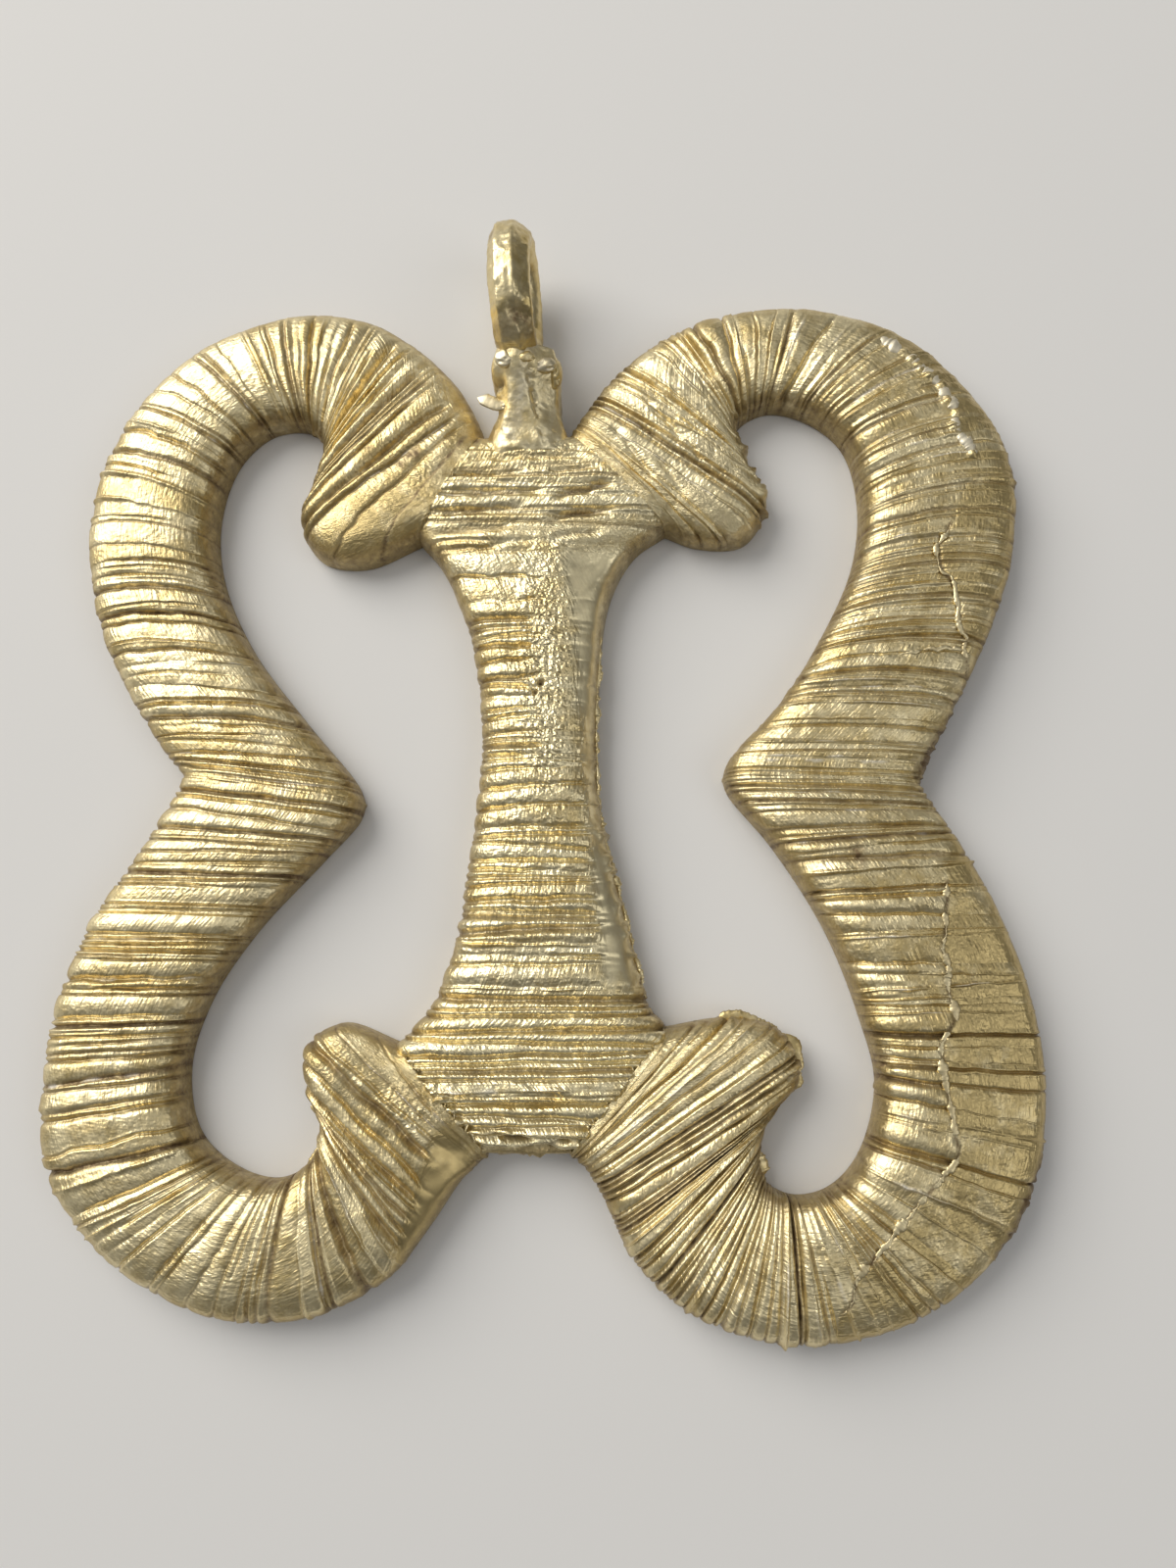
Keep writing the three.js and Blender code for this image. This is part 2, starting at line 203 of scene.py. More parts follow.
def headings(line):
    """Unit vectors along a line of points."""
    ahead = np.gradient(line, axis=0)
    return ahead / np.linalg.norm(ahead, axis=1)[:, None]


# Free edges of the whole casting, in a tree that says how far a point lies inside them.
left_flank = (LOWER_LEFT[:2], *SPOOL_LEFT_FLANK, UPPER_LEFT[:2])
right_flank = (LOWER_RIGHT[:2], *SPOOL_RIGHT_FLANK, UPPER_RIGHT[:2])
edge_lines = [left_flank, right_flank, STEM_LEFT_EDGE, STEM_RIGHT_EDGE]
for rows in HORN_THREADS.values():
    edge_lines += ([row[:2] for row in rows], [row[2:] for row in rows])
foot_left, foot_right = LOWER_LEFT[2:], LOWER_RIGHT[2:]
foot_line = np.linspace(foot_left, foot_right, int((foot_right[0] - foot_left[0]) / EDGE_SPACING))
edge_points = np.vstack([*(resampled(line, EDGE_SPACING) for line in edge_lines), foot_line])
edge_tree = kdtree.KDTree(len(edge_points))
for number, (x, y) in enumerate(edge_points):
    edge_tree.insert((x, y, 0), number)
edge_tree.balance()


def inset_of(x, y):
    """How far each point of the outline's plane lies inside the nearest free edge."""
    found = [edge_tree.find((*place, 0))[2] for place in zip(x.ravel(), y.ravel())]
    return np.array(found).reshape(x.shape)


def skin_height(inset):
    """Height of the crown, without its ribs, at some distance inside the nearest edge."""
    share = np.clip(inset / EDGE_REACH, 0, 1)
    rise = (1 - (1 - share) ** EDGE_FULLNESS) ** (1 / EDGE_FULLNESS)
    swell = smooth_step(inset, 0, SWELL_REACH)
    return FOOT_HEIGHT + (CROWN_HEIGHT - SWELL_HEIGHT - FOOT_HEIGHT) * rise + SWELL_HEIGHT * swell


# Wax threads: lands with a groove on each side, drawn at random but the same on each run. The steps are
# shares of the pitch, and closely laid threads have no widest step.
THREAD_STEPS = ((0.35, 0.6), (0.5, 0.9), (0.8, 1.3), (1.3, 2.2))
CLOSE_THREADS = 0.85
LEAST_LAST_STEP = 0.3
WIDE_GROOVES = 0.38
SHORT_GROOVES = 0.35
DEEPEST_GROOVE = 0.46
MOST_ROOM = 1.2
WOBBLE = 0.07
GROOVE_END = 0.12
THIN_GROOVE = 0.125


def lay_threads(length, pitch, depth, seed, zones, looser=1.0):
    """Lines along a band and the lands between them. A line is a groove, or a thin raised ridge. A zone is
    the share where it ends, the factors of its pitch, depth and width, how round its lands are, and its
    share of ridges. Looser lines slant more."""
    draw = random.Random(seed)
    chance, uniform = draw.random, draw.uniform
    grooves = []
    run = 0.0
    while run < length:
        factors = next(factors for end, *factors in zones if run / length < end)
        wider, deeper, broader, rounder, ridged = factors
        major = chance() < WIDE_GROOVES
        short = not major and chance() < SHORT_GROOVES
        from_inside = chance() < 0.5
        reach = uniform(0.35, 0.85)
        raised = chance() < ridged
        grooves.append({
            "run": run,
            "width": broader * (uniform(0.13, 0.22) if major else uniform(0.06, 0.12)),
            "depth": (-0.8 if raised else 1) * deeper * depth
            * (uniform(1.1, 1.8) if major or raised else uniform(0.4, 0.9)),
            "start": 1 - reach if short and not from_inside else -1,
            "stop": reach if short and from_inside else 2,
            "sway": uniform(0.02, 0.1),
            "slant": looser * uniform(-0.3, 0.3),
            "waves": uniform(0.8, 3),
            "phase": uniform(0, 1),
            "lift": uniform(-0.07, 0.07),
            "tilt": min(1, rounder) * uniform(-0.2, 0.2),
            "bulge": rounder * uniform(0.03, 0.1),
            "uneven": 0.018 + 0.016 * rounder,
            "lip": uniform(0.03, 0.1) if chance() < 0.4 else 0,
            "tone": uniform(0, 1),
            "dirt": 0 if raised else uniform(0.25, 1) if major else uniform(0.1, 0.7),
            "residue": uniform(0.5, 1) if chance() < (0.65 if raised else 0.15) else 0,
        })
        steps = THREAD_STEPS if wider > CLOSE_THREADS else THREAD_STEPS[:-1]
        run += pitch * wider * uniform(*draw.choice(steps))
    if length - grooves[-1]["run"] < LEAST_LAST_STEP * pitch:
        grooves.pop()
    grooves.append({**grooves[0], "run": length})
    threads = {key: np.array([groove[key] for groove in grooves]) for key in grooves[0]}
    gap = np.minimum(np.diff(threads["run"]), MOST_ROOM)
    room = np.minimum(np.append(gap, 0), np.insert(gap, 0, 0))
    threads["sway"] *= room
    threads["slant"] *= room
    threads["wobble"] = WOBBLE * room
    threads["depth"] = np.minimum(threads["depth"], DEEPEST_GROOVE)
    return threads


def thread_rows(threads):
    """Land number and share across the land of each row of the mesh, as two columns."""
    rows = []
    for land, width in enumerate(np.diff(threads["run"])):
        shares = NARROW_LAND_ROWS if width < NARROW_LAND else WIDE_LAND_ROWS
        rows += [(land, share) for share in shares]
    rows.append((len(threads["run"]) - 2, 1.0))
    land, share = np.hsplit(np.array(rows), 2)
    return land.astype(int), share


def groove_line(threads, number, across):
    """How far along the band a line lies at each share across it."""
    turn = 2 * math.pi * (threads["waves"][number] * across + threads["phase"][number])
    slant = threads["slant"][number] * (2 * across - 1)
    wobble = threads["wobble"][number] * mottle(across * 15, number * 3.7 + 0 * across, 97)
    return threads["run"][number] + slant + threads["sway"][number] * np.sin(turn) + wobble


def land_height(threads, land, share, across_mm, pitch_mm, seed):
    """Height of a land at a share of its width: lifted, tilted and a little round."""
    lift = threads["lift"][land] * (0.6 + 0.8 * mottle(across_mm / 3.1, land * 7.3, seed))
    tilt = threads["tilt"][land] * (0.8 + 0.6 * mottle(across_mm / 2.3, land * 3.1 + 11, seed + 1))
    bulge = threads["bulge"][land] * np.minimum(pitch_mm, 1.3) * (1 - (2 * share - 1) ** 2)
    uneven = threads["uneven"][land] * mottle(across_mm / 0.8, land * 5.7, seed + 2)
    return lift + tilt * (share - 0.5) + bulge + uneven


def rib_relief(land, share, across, across_mm, pitch_mm, threads, seed, quiet):
    """Height of the ribs over the skin, and how dirty and how pale each point is, from 0 to 1. Where it is
    quiet only the deepest grooves remain."""
    land, share = np.broadcast_to(land, across.shape), np.broadcast_to(share, across.shape)
    lower = share < 0.5
    number = np.where(lower, land, land + 1)
    away_mm = np.where(lower, share, 1 - share) * pitch_mm
    width = np.minimum(threads["width"][number] * (1 - 0.45 * quiet), 0.3 * pitch_mm + 0.01)
    away = away_mm / width
    start, stop = threads["start"][number], threads["stop"][number]
    window = between(across, start - GROOVE_END, start + GROOVE_END, stop - GROOVE_END, stop + GROOVE_END)
    window *= 1 - quiet * np.where(threads["width"][number] < THIN_GROOVE, 0.6, 0.15)
    strength = 0.75 + 0.5 * mottle(across_mm / 1.7, number * 4.9, seed + 3)
    cut = bell(away)
    own = land_height(threads, land, share, across_mm, pitch_mm, seed)
    other = np.where(lower, land - 1, land + 1) % (len(threads["run"]) - 1)
    over_line = 0.5 * (
        land_height(threads, land, np.round(share), across_mm, pitch_mm, seed)
        + land_height(threads, other, 1 - np.round(share), across_mm, pitch_mm, seed)
    )
    lip = threads["lip"][number] * window * bell((away - 1.8) / 0.8)
    narrow = np.minimum(1, pitch_mm / 0.5)
    relief = (own + (over_line - own) * cut) * narrow * (1 - 0.85 * quiet) + lip
    relief -= threads["depth"][number] * np.minimum(1, pitch_mm / 0.55) * strength * window * cut
    film = np.clip(0.35 + 1.2 * mottle(across_mm / 1.4, number * 3.3, seed + 9), 0, 1)
    soiled = bell(away / 1.3) * window
    return relief, threads["dirt"][number] * soiled, threads["residue"][number] * film * soiled


# Single features of the surface: x, y, height and radius, in millimetres. A negative height is a pit.
LUMPS = (
    (0.3, 7.1, -0.6, 0.2), (-0.1, 6.4, -0.5, 0.18), (-26.4, 5.7, -0.22, 0.2), (-26.4, 5.7, 0.2, 0.42),
    (25.2, 32.4, 0.2, 0.3), (26.4, 31.6, 0.34, 0.3), (26.9, 31.1, 0.34, 0.32), (27.4, 30.4, 0.36, 0.34),
    (28, 29.7, 0.3, 0.3), (28.6, 29.9, 0.3, 0.28), (29, 29, 0.36, 0.34), (29.3, 27.8, 0.32, 0.32),
    (29.9, 26.8, 0.3, 0.32), (29.6, 25.8, 0.3, 0.3), (30.6, 24.7, 0.3, 0.32), (30.9, 23.7, 0.26, 0.28),
    (1.5, 17, 0.18, 0.3), (2.3, 15.5, 0.12, 0.3), (-0.8, 15.4, 0.12, 0.3), (29.9, 10.5, 0.16, 0.4),
    (30, 9.9, 0.16, 0.35), (29.9, 8.7, 0.14, 0.35), (24.2, 8.9, 0.1, 0.5), (25.9, 9.2, 0.1, 0.4),
)

# Single cuts: x, y of both ends, width and depth, in millimetres.
CUTS = (
    (-6.9, 22.5, -0.6, 22.6, 0.26, 0.32), (0.6, 22.7, 4.6, 23, 0.22, 0.3),
    (-7.4, 21.2, 0.4, 21.2, 0.28, 0.4), (0.9, 20.8, 5.4, 21.9, 0.32, 0.5),
    (-8, 19.7, -0.6, 20, 0.28, 0.38), (0.6, 19.2, 5.6, 20, 0.3, 0.45), (-8, 18.2, -1.4, 18.6, 0.24, 0.34),
    (1, 17.8, 4.8, 18.2, 0.22, 0.3), (-5.6, 23.8, 3.4, 23.9, 0.2, 0.25), (-7.6, 17, -2.2, 17.1, 0.2, 0.3),
    (3.4, 6.9, 4.3, 7.2, 0.08, 0.12), (3.2, 15.4, 4.6, 15.7, 0.08, 0.12),
    (5.2, 26.3, 8.4, 21.9, 0.18, 0.25), (7.4, 28.2, 10.6, 24.8, 0.16, 0.2),
    (9.6, 29, 12.8, 26.2, 0.16, 0.2), (8.6, 23.6, 10.4, 20.8, 0.14, 0.2),
    (10.8, 24.8, 12.6, 22, 0.14, 0.2), (-6.6, -19.2, -3.8, -23.6, 0.16, 0.25),
    (-3.3, -23.2, 0.5, -24.05, 0.22, 0.45), (0.1, -24.1, 2.6, -23.9, 0.2, 0.4),
)

# Grainy places of the skin: x, y of the middle, half width, half height and strength.
ROUGH_SPOTS = (
    (0.4, 8.5, 1.9, 9.5, 1), (-0.6, 25.2, 3.6, 1.6, 0.5), (-7.6, -21.6, 2.4, 2.2, 0.8),
    (10.6, 23.4, 4, 4, 0.35), (-8.2, 21.8, 1.4, 1.8, 0.8), (0, -4, 4, 12, 0.3),
)

# Brown stains: x, y and radius.
STAINS = ((-12.3, 24.4, 0.5), (-9.2, 24, 0.8), (-10, 23.3, 0.4), (-4.6, 25.3, 0.3), (22, -5, 0.8))

# Painted light and shade: patches painted paler, or deeper where below 0: x, y, radius and strength.
PAINTED_LIGHT_SPOTS = (
    (10.8, 23.6, 6.5, 1.1), (-12.5, 21.5, 6, -0.9), (-29, 12, 8, -0.3), (-28, -12, 8, -0.2),
    (0, -20, 7, 0.5), (12, -22, 6, 0.4), (29, -14, 7, -0.5), (30, 14, 7, -0.3), (17, -34.5, 7, 0.6),
)

# Edges with burrs: x, y of both ends, reach and height.
RAGGED_EDGES = (
    (14.2, 26.9, 15.4, 23.6, 0.6, 0.45), (15.4, 23.6, 16.8, 20.6, 0.6, 0.5),
    (16.8, 20.6, 15.6, 18.2, 0.6, 0.3), (15.6, 18.2, 9.4, 18.2, 0.6, 0.25), (4.1, 3, 4.6, -3, 0.4, 0.2),
    (4.6, -3, 7.6, -14.5, 0.4, 0.3), (12.5, -15.9, 17.5, -17.4, 0.5, 0.3),
    (17.5, -17.4, 17.9, -20.5, 0.5, 0.3), (15.6, -26.4, 20, -27.2, 0.5, 0.3),
    (22, -24.8, 23.4, -19, 0.4, 0.2), (-3, -24.9, 2.5, -24.9, 0.4, 0.3),
    (-20, 27.4, -16.4, 26.6, 0.4, 0.3),
)

# Facets: x, y of both ends of the line where each begins, to the right of the way from one to the other,
# how far it reaches, its height at the line and its fall for each millimetre. It fades out at both ends.
FACET_END = 2.5
SPOOL_BEVEL = (4.6, -15, 1.9, 18, 5)
LOBE_BEVEL = (-9.4, -32.6, -6.1, -21.9, 3.6)
FACETS = (
    (*SPOOL_BEVEL, 3.66, 0.25), (27.6, -24.5, 26.6, -3, 8, 3.72, 0.1),
    (19.6, -34.5, 27.6, -24.5, 8, 3.72, 0.09), (*LOBE_BEVEL, 3.66, 0.42),
)

# Stretches of the outer wall that face away from the key lamp: a gritty skin, painted dark as painted
# shade. x, y of both ends and reach.
SHADED_GRITTY_WALLS = ((30.9, 6.9, 26.9, 0.9, 0.9), (34.3, -24, 30.6, -31, 0.7), (34.6, 21, 33.9, 26, 0.5))

# Lines where the wax elements are welded together on the top, each a shallow valley, the crack along each
# seam, and how far the spool's skin lies down under the stem.
WELD_LINES = (UPPER_LEFT, LOWER_LEFT, UPPER_RIGHT, LOWER_RIGHT)
WELD_VALLEY = 0.08
WELD_VALLEY_WIDTH = 0.3
CRACK = 0.1
CRACK_WIDTH = 0.16
UNDER_STEM = 0.7

# Seams on the right horns, from the top down: outside them the wax was smoothed over.
UPPER_RIGHT_SEAM = (
    (29.1, 18.5), (28.7, 17.6), (28.1, 16.8), (28.4, 14.9), (29, 14.4), (29.4, 12.5), (29.4, 10.9),
    (29.9, 10.3), (29.7, 9.4), (30, 7.8),
)
LOWER_RIGHT_SEAM = (
    (27.8, -6.7), (27.6, -8.3), (27.5, -10.2), (27.2, -11.1), (27.6, -12.2), (27.4, -13.4), (27.9, -15.5),
    (26.9, -17.4), (27.1, -19.7), (27.4, -22), (27.7, -24.4), (26.9, -25.5), (25.4, -27), (23.8, -28.9),
    (21.7, -31.2), (20.9, -32.1), (20.6, -33.6), (19.9, -34.2),
)
BEAD_PATH = (
    (24.6, 32.8), (25.4, 32.2), (26.4, 31.6), (26.9, 31), (27.4, 30.4), (28.1, 29.8), (28.6, 29.3),
    (29, 28.6), (29.4, 27.8), (29.8, 26.9), (29.7, 25.8), (30.2, 24.9), (30.7, 24.3), (31, 23.4),
)
UPPER_RIGHT_LIMIT = ((22, 34.4), (26.4, 31.6), (28.2, 29.6), (29.6, 26.8), (30.8, 23.7), (29.8, 20.8),
                     *UPPER_RIGHT_SEAM, (29.3, 4.5), (28.2, 2))
LOWER_RIGHT_LIMIT = ((27.9, -2.5), *LOWER_RIGHT_SEAM, (19, -37.5))

# The smaller threads, fins and webs of metal on the skins and at their edges: x, y. Flash is thin and flat:
# half its width and half its height, as shares of a trail's radius.
BRANCH_PATH = ((29.7, 9.4), (28.3, 9.5), (27.1, 9.4), (25.5, 9), (24, 8.8))
INNER_SEAM_PATH = ((21.9, -8.8), (22.7, -10.8), (23, -13.7), (22.6, -16))
FIN_PATH = (
    (4.25, 12.1), (4.35, 9.9), (4.2, 6), (4.2, 2.5), (4.45, -2), (5.6, -6.6), (6.4, -9.6), (6.7, -11.1),
    (7.3, -12.9), (7.6, -14.6),
)
RIM_PATH = (
    (12.5, -15.9), (14.1, -15.8), (15.8, -16.5), (17.3, -17.5), (17.9, -18.5), (17.7, -19.9),
    (17.4, -20.6),
)
RIGHT_WEB_PATH = ((14.8, -22.6), (14.6, -23.8), (14.9, -25.2), (15.3, -26.3))
LEFT_WEB_PATH = ((-15.3, -22), (-14.2, -22.4), (-14, -23.5), (-14.6, -25), (-15.4, -26))
FLASH_PATH = ((-4.5, 28.25), (-4, 27.95), (-3.4, 27.8), (-2.6, 27.7), (-2, 27.7))
FLASH = (1, 0.22)


def beside(line, x, y):
    """Distance of each point from a straight line between two points, and its share along the line."""
    x0, y0, x1, y1 = line
    share = np.clip(((x - x0) * (x1 - x0) + (y - y0) * (y1 - y0)) / ((x1 - x0) ** 2 + (y1 - y0) ** 2), 0, 1)
    return np.hypot(x - x0 - share * (x1 - x0), y - y0 - share * (y1 - y0)), share


def single_features(x, y, z):
    """Height of the single features, and how dirty they are, from 0 to 1, with painted shade on the outer
    walls that face away from the key lamp counted as dirt.
    """
    height = np.zeros(x.shape)
    for at_x, at_y, tall, radius in LUMPS:
        height += tall * bell((x - at_x) / radius, (y - at_y) / radius)
    dirt = np.clip(-2 * height, 0, 1)
    bent_x = x + 0.12 * mottle(x / 0.9, y / 0.9, 65)
    bent_y = y + 0.12 * mottle(x / 0.7, y / 0.9, 67)
    uneven = 1 + 0.4 * mottle(x / 0.9, y / 0.4, 61)
    for *line, width, depth in CUTS:
        away, share = beside(line, bent_x, bent_y)
        cut = bell(away / width) * (1 - (2 * share - 1) ** 4)
        height -= depth * cut * uneven
        dirt = np.maximum(dirt, 1.6 * depth * cut)
    for at_x, at_y, radius in STAINS:
        spot = bell((x - at_x) / radius, (y - at_y) / radius)
        dirt = np.maximum(dirt, spot * (0.9 + 0.5 * mottle(x / 0.3, y / 0.3, 69)))
    # Painted shade on the outer walls away from the key lamp, over a real gritty relief.
    for *line, reach in SHADED_GRITTY_WALLS:
        wall = bell((beside(line, x, y)[0] / reach) ** 2)
        height += 0.16 * wall * mottle(x / 0.3, y / 0.3, 63)
        dirt = np.maximum(dirt, wall)
    for path in (UPPER_RIGHT_SEAM, LOWER_RIGHT_SEAM):
        for near, far in zip(path, path[1:]):
            crack = bell(beside((*near, *far), x, y)[0] / CRACK_WIDTH)
            height -= CRACK * crack
            dirt = np.maximum(dirt, crack)
    for line in WELD_LINES:
        height -= WELD_VALLEY * bell(beside(line, x, y)[0] / WELD_VALLEY_WIDTH)
    for *line, top, fall in FACETS:
        right, window = right_of(line, x, y)
        height -= np.maximum(z - top + fall * right, 0) * window
    under_stem = smooth_step(y, 25.0, 26.1) * between(x, -4.4, -3.6, 1.2, 2.0)
    return height - UNDER_STEM * under_stem, np.clip(dirt, 0, 1)


def roughness(x, y):
    """How grainy the skin is at each point, from 0 to 1, and below 0 where it was filed."""
    rough = 0.12 + 0.12 * mottle(x / 2.5, y / 2.5, 79)
    for at_x, at_y, wide, high, strength in ROUGH_SPOTS:
        spot = ((x - at_x) / wide) ** 2 + ((y - at_y) / high) ** 2
        rough = np.maximum(rough, strength * bell(spot))
    smooth = np.maximum(filed(SPOOL_BEVEL, x, y), filed(LOBE_BEVEL, x, y))
    return rough * (1 - smooth) - 0.2 * smooth


def right_of(line, x, y):
    """How far each point lies to the right of the way along a line, and from 0 to 1 if it is beside it."""
    x0, y0, x1, y1, reach = line
    length = math.hypot(x1 - x0, y1 - y0)
    right = ((x - x0) * (y1 - y0) - (y - y0) * (x1 - x0)) / length
    ahead = ((x - x0) * (x1 - x0) + (y - y0) * (y1 - y0)) / length
    window = between(ahead, 0, FACET_END, length - FACET_END, length)
    window *= 1 - smooth_step(right, reach - 1, reach)
    return right + 0.3 * mottle(x / 1.6, y / 1.1, 73), window


def filed(line, x, y):
    """From 0 to 1: how smooth a filed facet has left the skin."""
    right, window = right_of(line, x, y)
    return smooth_step(right, -0.3, 0.5) * window


def ragged(x, y, z):
    """How far burrs stand out where flash was broken off an edge."""
    burr = np.zeros(x.shape)
    teeth = np.maximum(0.1 + mottle(x / 0.55, y / 0.45, 75) + 0.5 * mottle(x / 0.2, y / 0.2, 77), 0)
    for *line, reach, tall in RAGGED_EDGES:
        burr = np.maximum(burr, tall * bell((beside(line, x, y)[0] / reach) ** 2) * teeth)
    return burr * smooth_step(z, 0.3, 1.2)


def beyond(path, x, y):
    """From 0 to 1: how far a point lies on the outer side of a path that runs down the right horns."""
    line = resampled(path, 0.4)
    ahead = headings(line)
    from_x, from_y = x.ravel()[:, None] - line[:, 0], y.ravel()[:, None] - line[:, 1]
    nearest = np.argmin(from_x**2 + from_y**2, axis=1)
    pick = np.arange(len(nearest))
    side = ahead[nearest, 0] * from_y[pick, nearest] - ahead[nearest, 1] * from_x[pick, nearest]
    return smooth_step(side.reshape(x.shape), -0.15, 0.3)


def placed(name, data):
    """New object in the scene."""
    made = bpy.data.objects.new(name, data)
    scene.collection.objects.link(made)
    return made


def shaped(name, shell):
    """New object from a bmesh, which is freed."""
    mesh = bpy.data.meshes.new(name)
    shell.to_mesh(mesh)
    shell.free()
    return placed(name, mesh)


def new_piece(name, shell, slot, replaced=None, finish=None):
    """Makes a bmesh a named piece of the pendant, in metres, that rides on its one body."""
    shell.normal_update()
    for face in shell.faces:
        face.smooth = True
    piece = shaped(name, shell)
    piece.data.materials.append(finishes[finish or slot])
    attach(piece, "root")
    if replaced:
        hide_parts(replaced)
    return piece


def wrapped(points, wear=None, threads=None, loop=False):
    """Closed shell: a grid wrapped over a sheet of points [along, around] in millimetres. The sheet closes
    round itself, and its two ends are closed with a face, or joined where it is a loop. Wear holds dirt
    with painted shade, residue, and tone with painted light and shade. Threads holds the millimetres along
    and across the wax threads, and the roughness."""
    blank = np.zeros(points.shape)
    sheet = np.dstack([points, *(blank if more is None else more for more in (wear, threads))])
    sheet = np.concatenate([sheet, sheet[:, :1]], axis=1)
    if loop:
        sheet = np.concatenate([sheet, sheet[:1]])
    rows, columns = sheet.shape[:2]
    shell = bmesh.new()
    wear_layer = shell.verts.layers.float_vector.new("wear")
    thread_layer = shell.verts.layers.float_vector.new("thread")
    bmesh.ops.create_grid(shell, x_segments=rows - 1, y_segments=columns - 1, size=0.5)
    for vert in shell.verts:
        row = round((vert.co.x + 0.5) * (rows - 1))
        column = round((vert.co.y + 0.5) * (columns - 1))
        place = sheet[row, column]
        vert.co = place[:3] * MM
        vert[wear_layer] = Vector(place[3:6])
        vert[thread_layer] = Vector(place[6:9])
    bmesh.ops.remove_doubles(shell, verts=shell.verts, dist=1e-7)
    open_edges = [edge for edge in shell.edges if edge.is_boundary]
    if open_edges:
        caps = bmesh.ops.holes_fill(shell, edges=open_edges, sides=0)["faces"]
        bmesh.ops.triangulate(shell, faces=caps)
    bmesh.ops.recalc_face_normals(shell, faces=shell.faces)
    return shell


def outward_normals(sheet, upward_column):
    """Normals of a sheet that closes round itself, turned so that the given column's point up."""
    forward = np.gradient(sheet, axis=0)
    sideways = np.roll(sheet, -1, axis=1) - np.roll(sheet, 1, axis=1)
    normal = np.cross(forward, sideways)
    normal /= np.maximum(np.linalg.norm(normal, axis=2), 1e-9)[:, :, None]
    return normal if np.mean(normal[:, upward_column, 2]) > 0 else -normal


def band_sheet(rails, threads, seed, fade_ends, smooth_side, bow=0.0):
    """Sheet of points round a ribbed band, from its inner edge over the crown to its outer edge and back
    under it, with its wear, which paints shade on the walls and light and shade in patches, and its thread
    coordinates. The threads bow by some millimetres midway."""
    land, share = thread_rows(threads)
    inner, outer = rails(threads["run"][land] * (1 - share) + threads["run"][land + 1] * share)
    width = np.linalg.norm(outer - inner, axis=2)
    insets = np.array(EDGE_INSETS) / width
    middle = np.linspace(0, 1, MIDDLE_POINTS + 2)[1:-1]
    start = insets[:, -1:]
    across = np.concatenate([insets, start + (1 - 2 * start) * middle, 1 - insets[:, ::-1]], axis=1)
    below, above = groove_line(threads, land, across), groove_line(threads, land + 1, across)
    run = below * (1 - share) + above * share
    length = threads["run"][-1]
    bowed = bow * 4 * across * (1 - across) * smooth_step(run, 0, 0.2 * length)
    near_rail, far_rail = rails(run + bowed * (1 - smooth_step(run, 0.5 * length, 0.75 * length)))
    flat = near_rail + (far_rail - near_rail) * across[:, :, None]
    top = np.dstack([flat, skin_height(inset_of(flat[:, :, 0], flat[:, :, 1]))])

    def at_height(line, z):
        return np.column_stack([line, np.full(len(line), z)])

    def side(edge, other):
        """Foot of a side wall: three points between the back and the wall."""
        back = edge + (other - edge) / width * BACK_EDGE
        return at_height(back, 0), at_height(edge, BACK_EDGE), at_height(edge, WALL_FOOT)

    first, last = flat[:, 0], flat[:, -1]
    near, far = side(first, last), side(last, first)
    under = (at_height(last * (1 - part) + first * part, 0) for part in (0.25, 0.5, 0.75))
    sheet = np.stack([*near, *top.transpose(1, 0, 2), *far[::-1], *under], axis=1)
    normal = outward_normals(sheet, 3 + across.shape[1] // 2)

    stretch = np.linalg.norm(np.gradient(flat, axis=0), axis=2) / np.maximum(np.gradient(run, axis=0), 1e-6)
    pitch_mm = stretch * (above - below)

    def widened(field):
        """A field of the top, carried on down both sides and under the piece."""
        return np.pad(field, ((0, 0), (3, 6)), "edge")

    crossing, along, pitch_mm = widened(across), widened(run), widened(pitch_mm)
    across_mm = crossing * width
    x, y, z = np.moveaxis(sheet, 2, 0)
    worn, quiet = smooth_side(along / length, crossing, x, y)
    relief, dirt, pale = rib_relief(land, share, crossing, across_mm, pitch_mm, threads, seed, quiet)
    strength = between(along, 0, fade_ends[0], length - fade_ends[1], length) * (1 - worn)
    relief *= strength
    relief += 0.07 * crumple(x, y, 3.1, seed + 5) + (0.03 + 0.035 * quiet) * crumple(x, y, 0.7, seed + 7)
    single, single_dirt_and_shade = single_features(x, y, z)
    relief += single
    fade = smooth_step(z, 0.1, 1.0) * (0.35 + 0.65 * smooth_step(z, 1.2, 2.9))
    # Painted shade: the walls are painted darker, duller and deeper in tone towards the foot.
    wall = 1 - smooth_step(z, 2.2, 3.1)
    tone = threads["tone"][np.broadcast_to(land, x.shape)]
    # Painted light and shade in patches.
    for at_x, at_y, radius, strong in PAINTED_LIGHT_SPOTS:
        tone += strong * bell((x - at_x) / radius, (y - at_y) / radius)
    tone += (1.4 - tone) * filed(SPOOL_BEVEL, x, y)
    # Painted dark reflection on the filed lobe bevel, and painted shade on the quiet outer bands and on the
    # walls.
    tone = tone - 1.5 * filed(LOBE_BEVEL, x, y) - 0.7 * quiet - wall
    # Painted shade: below the crown the walls take the dark brown colour, over the real dirt of the
    # grooves.
    soil_and_shade = np.maximum(dirt * strength, single_dirt_and_shade)
    wear = np.dstack([soil_and_shade + (1 - soil_and_shade) * 0.6 * wall, pale * strength * smooth_step(z, 2.8, 3.3), tone])
    drift = 0.3 * mottle(across_mm / 4, along / 4, seed + 13)
    along_mm = along * np.maximum(np.sqrt(widened(stretch)), 0.3) + drift
    thread = np.dstack([along_mm, across_mm, roughness(x, y)])
    return sheet + normal * (relief * fade + ragged(x, y, z))[:, :, None], wear, thread


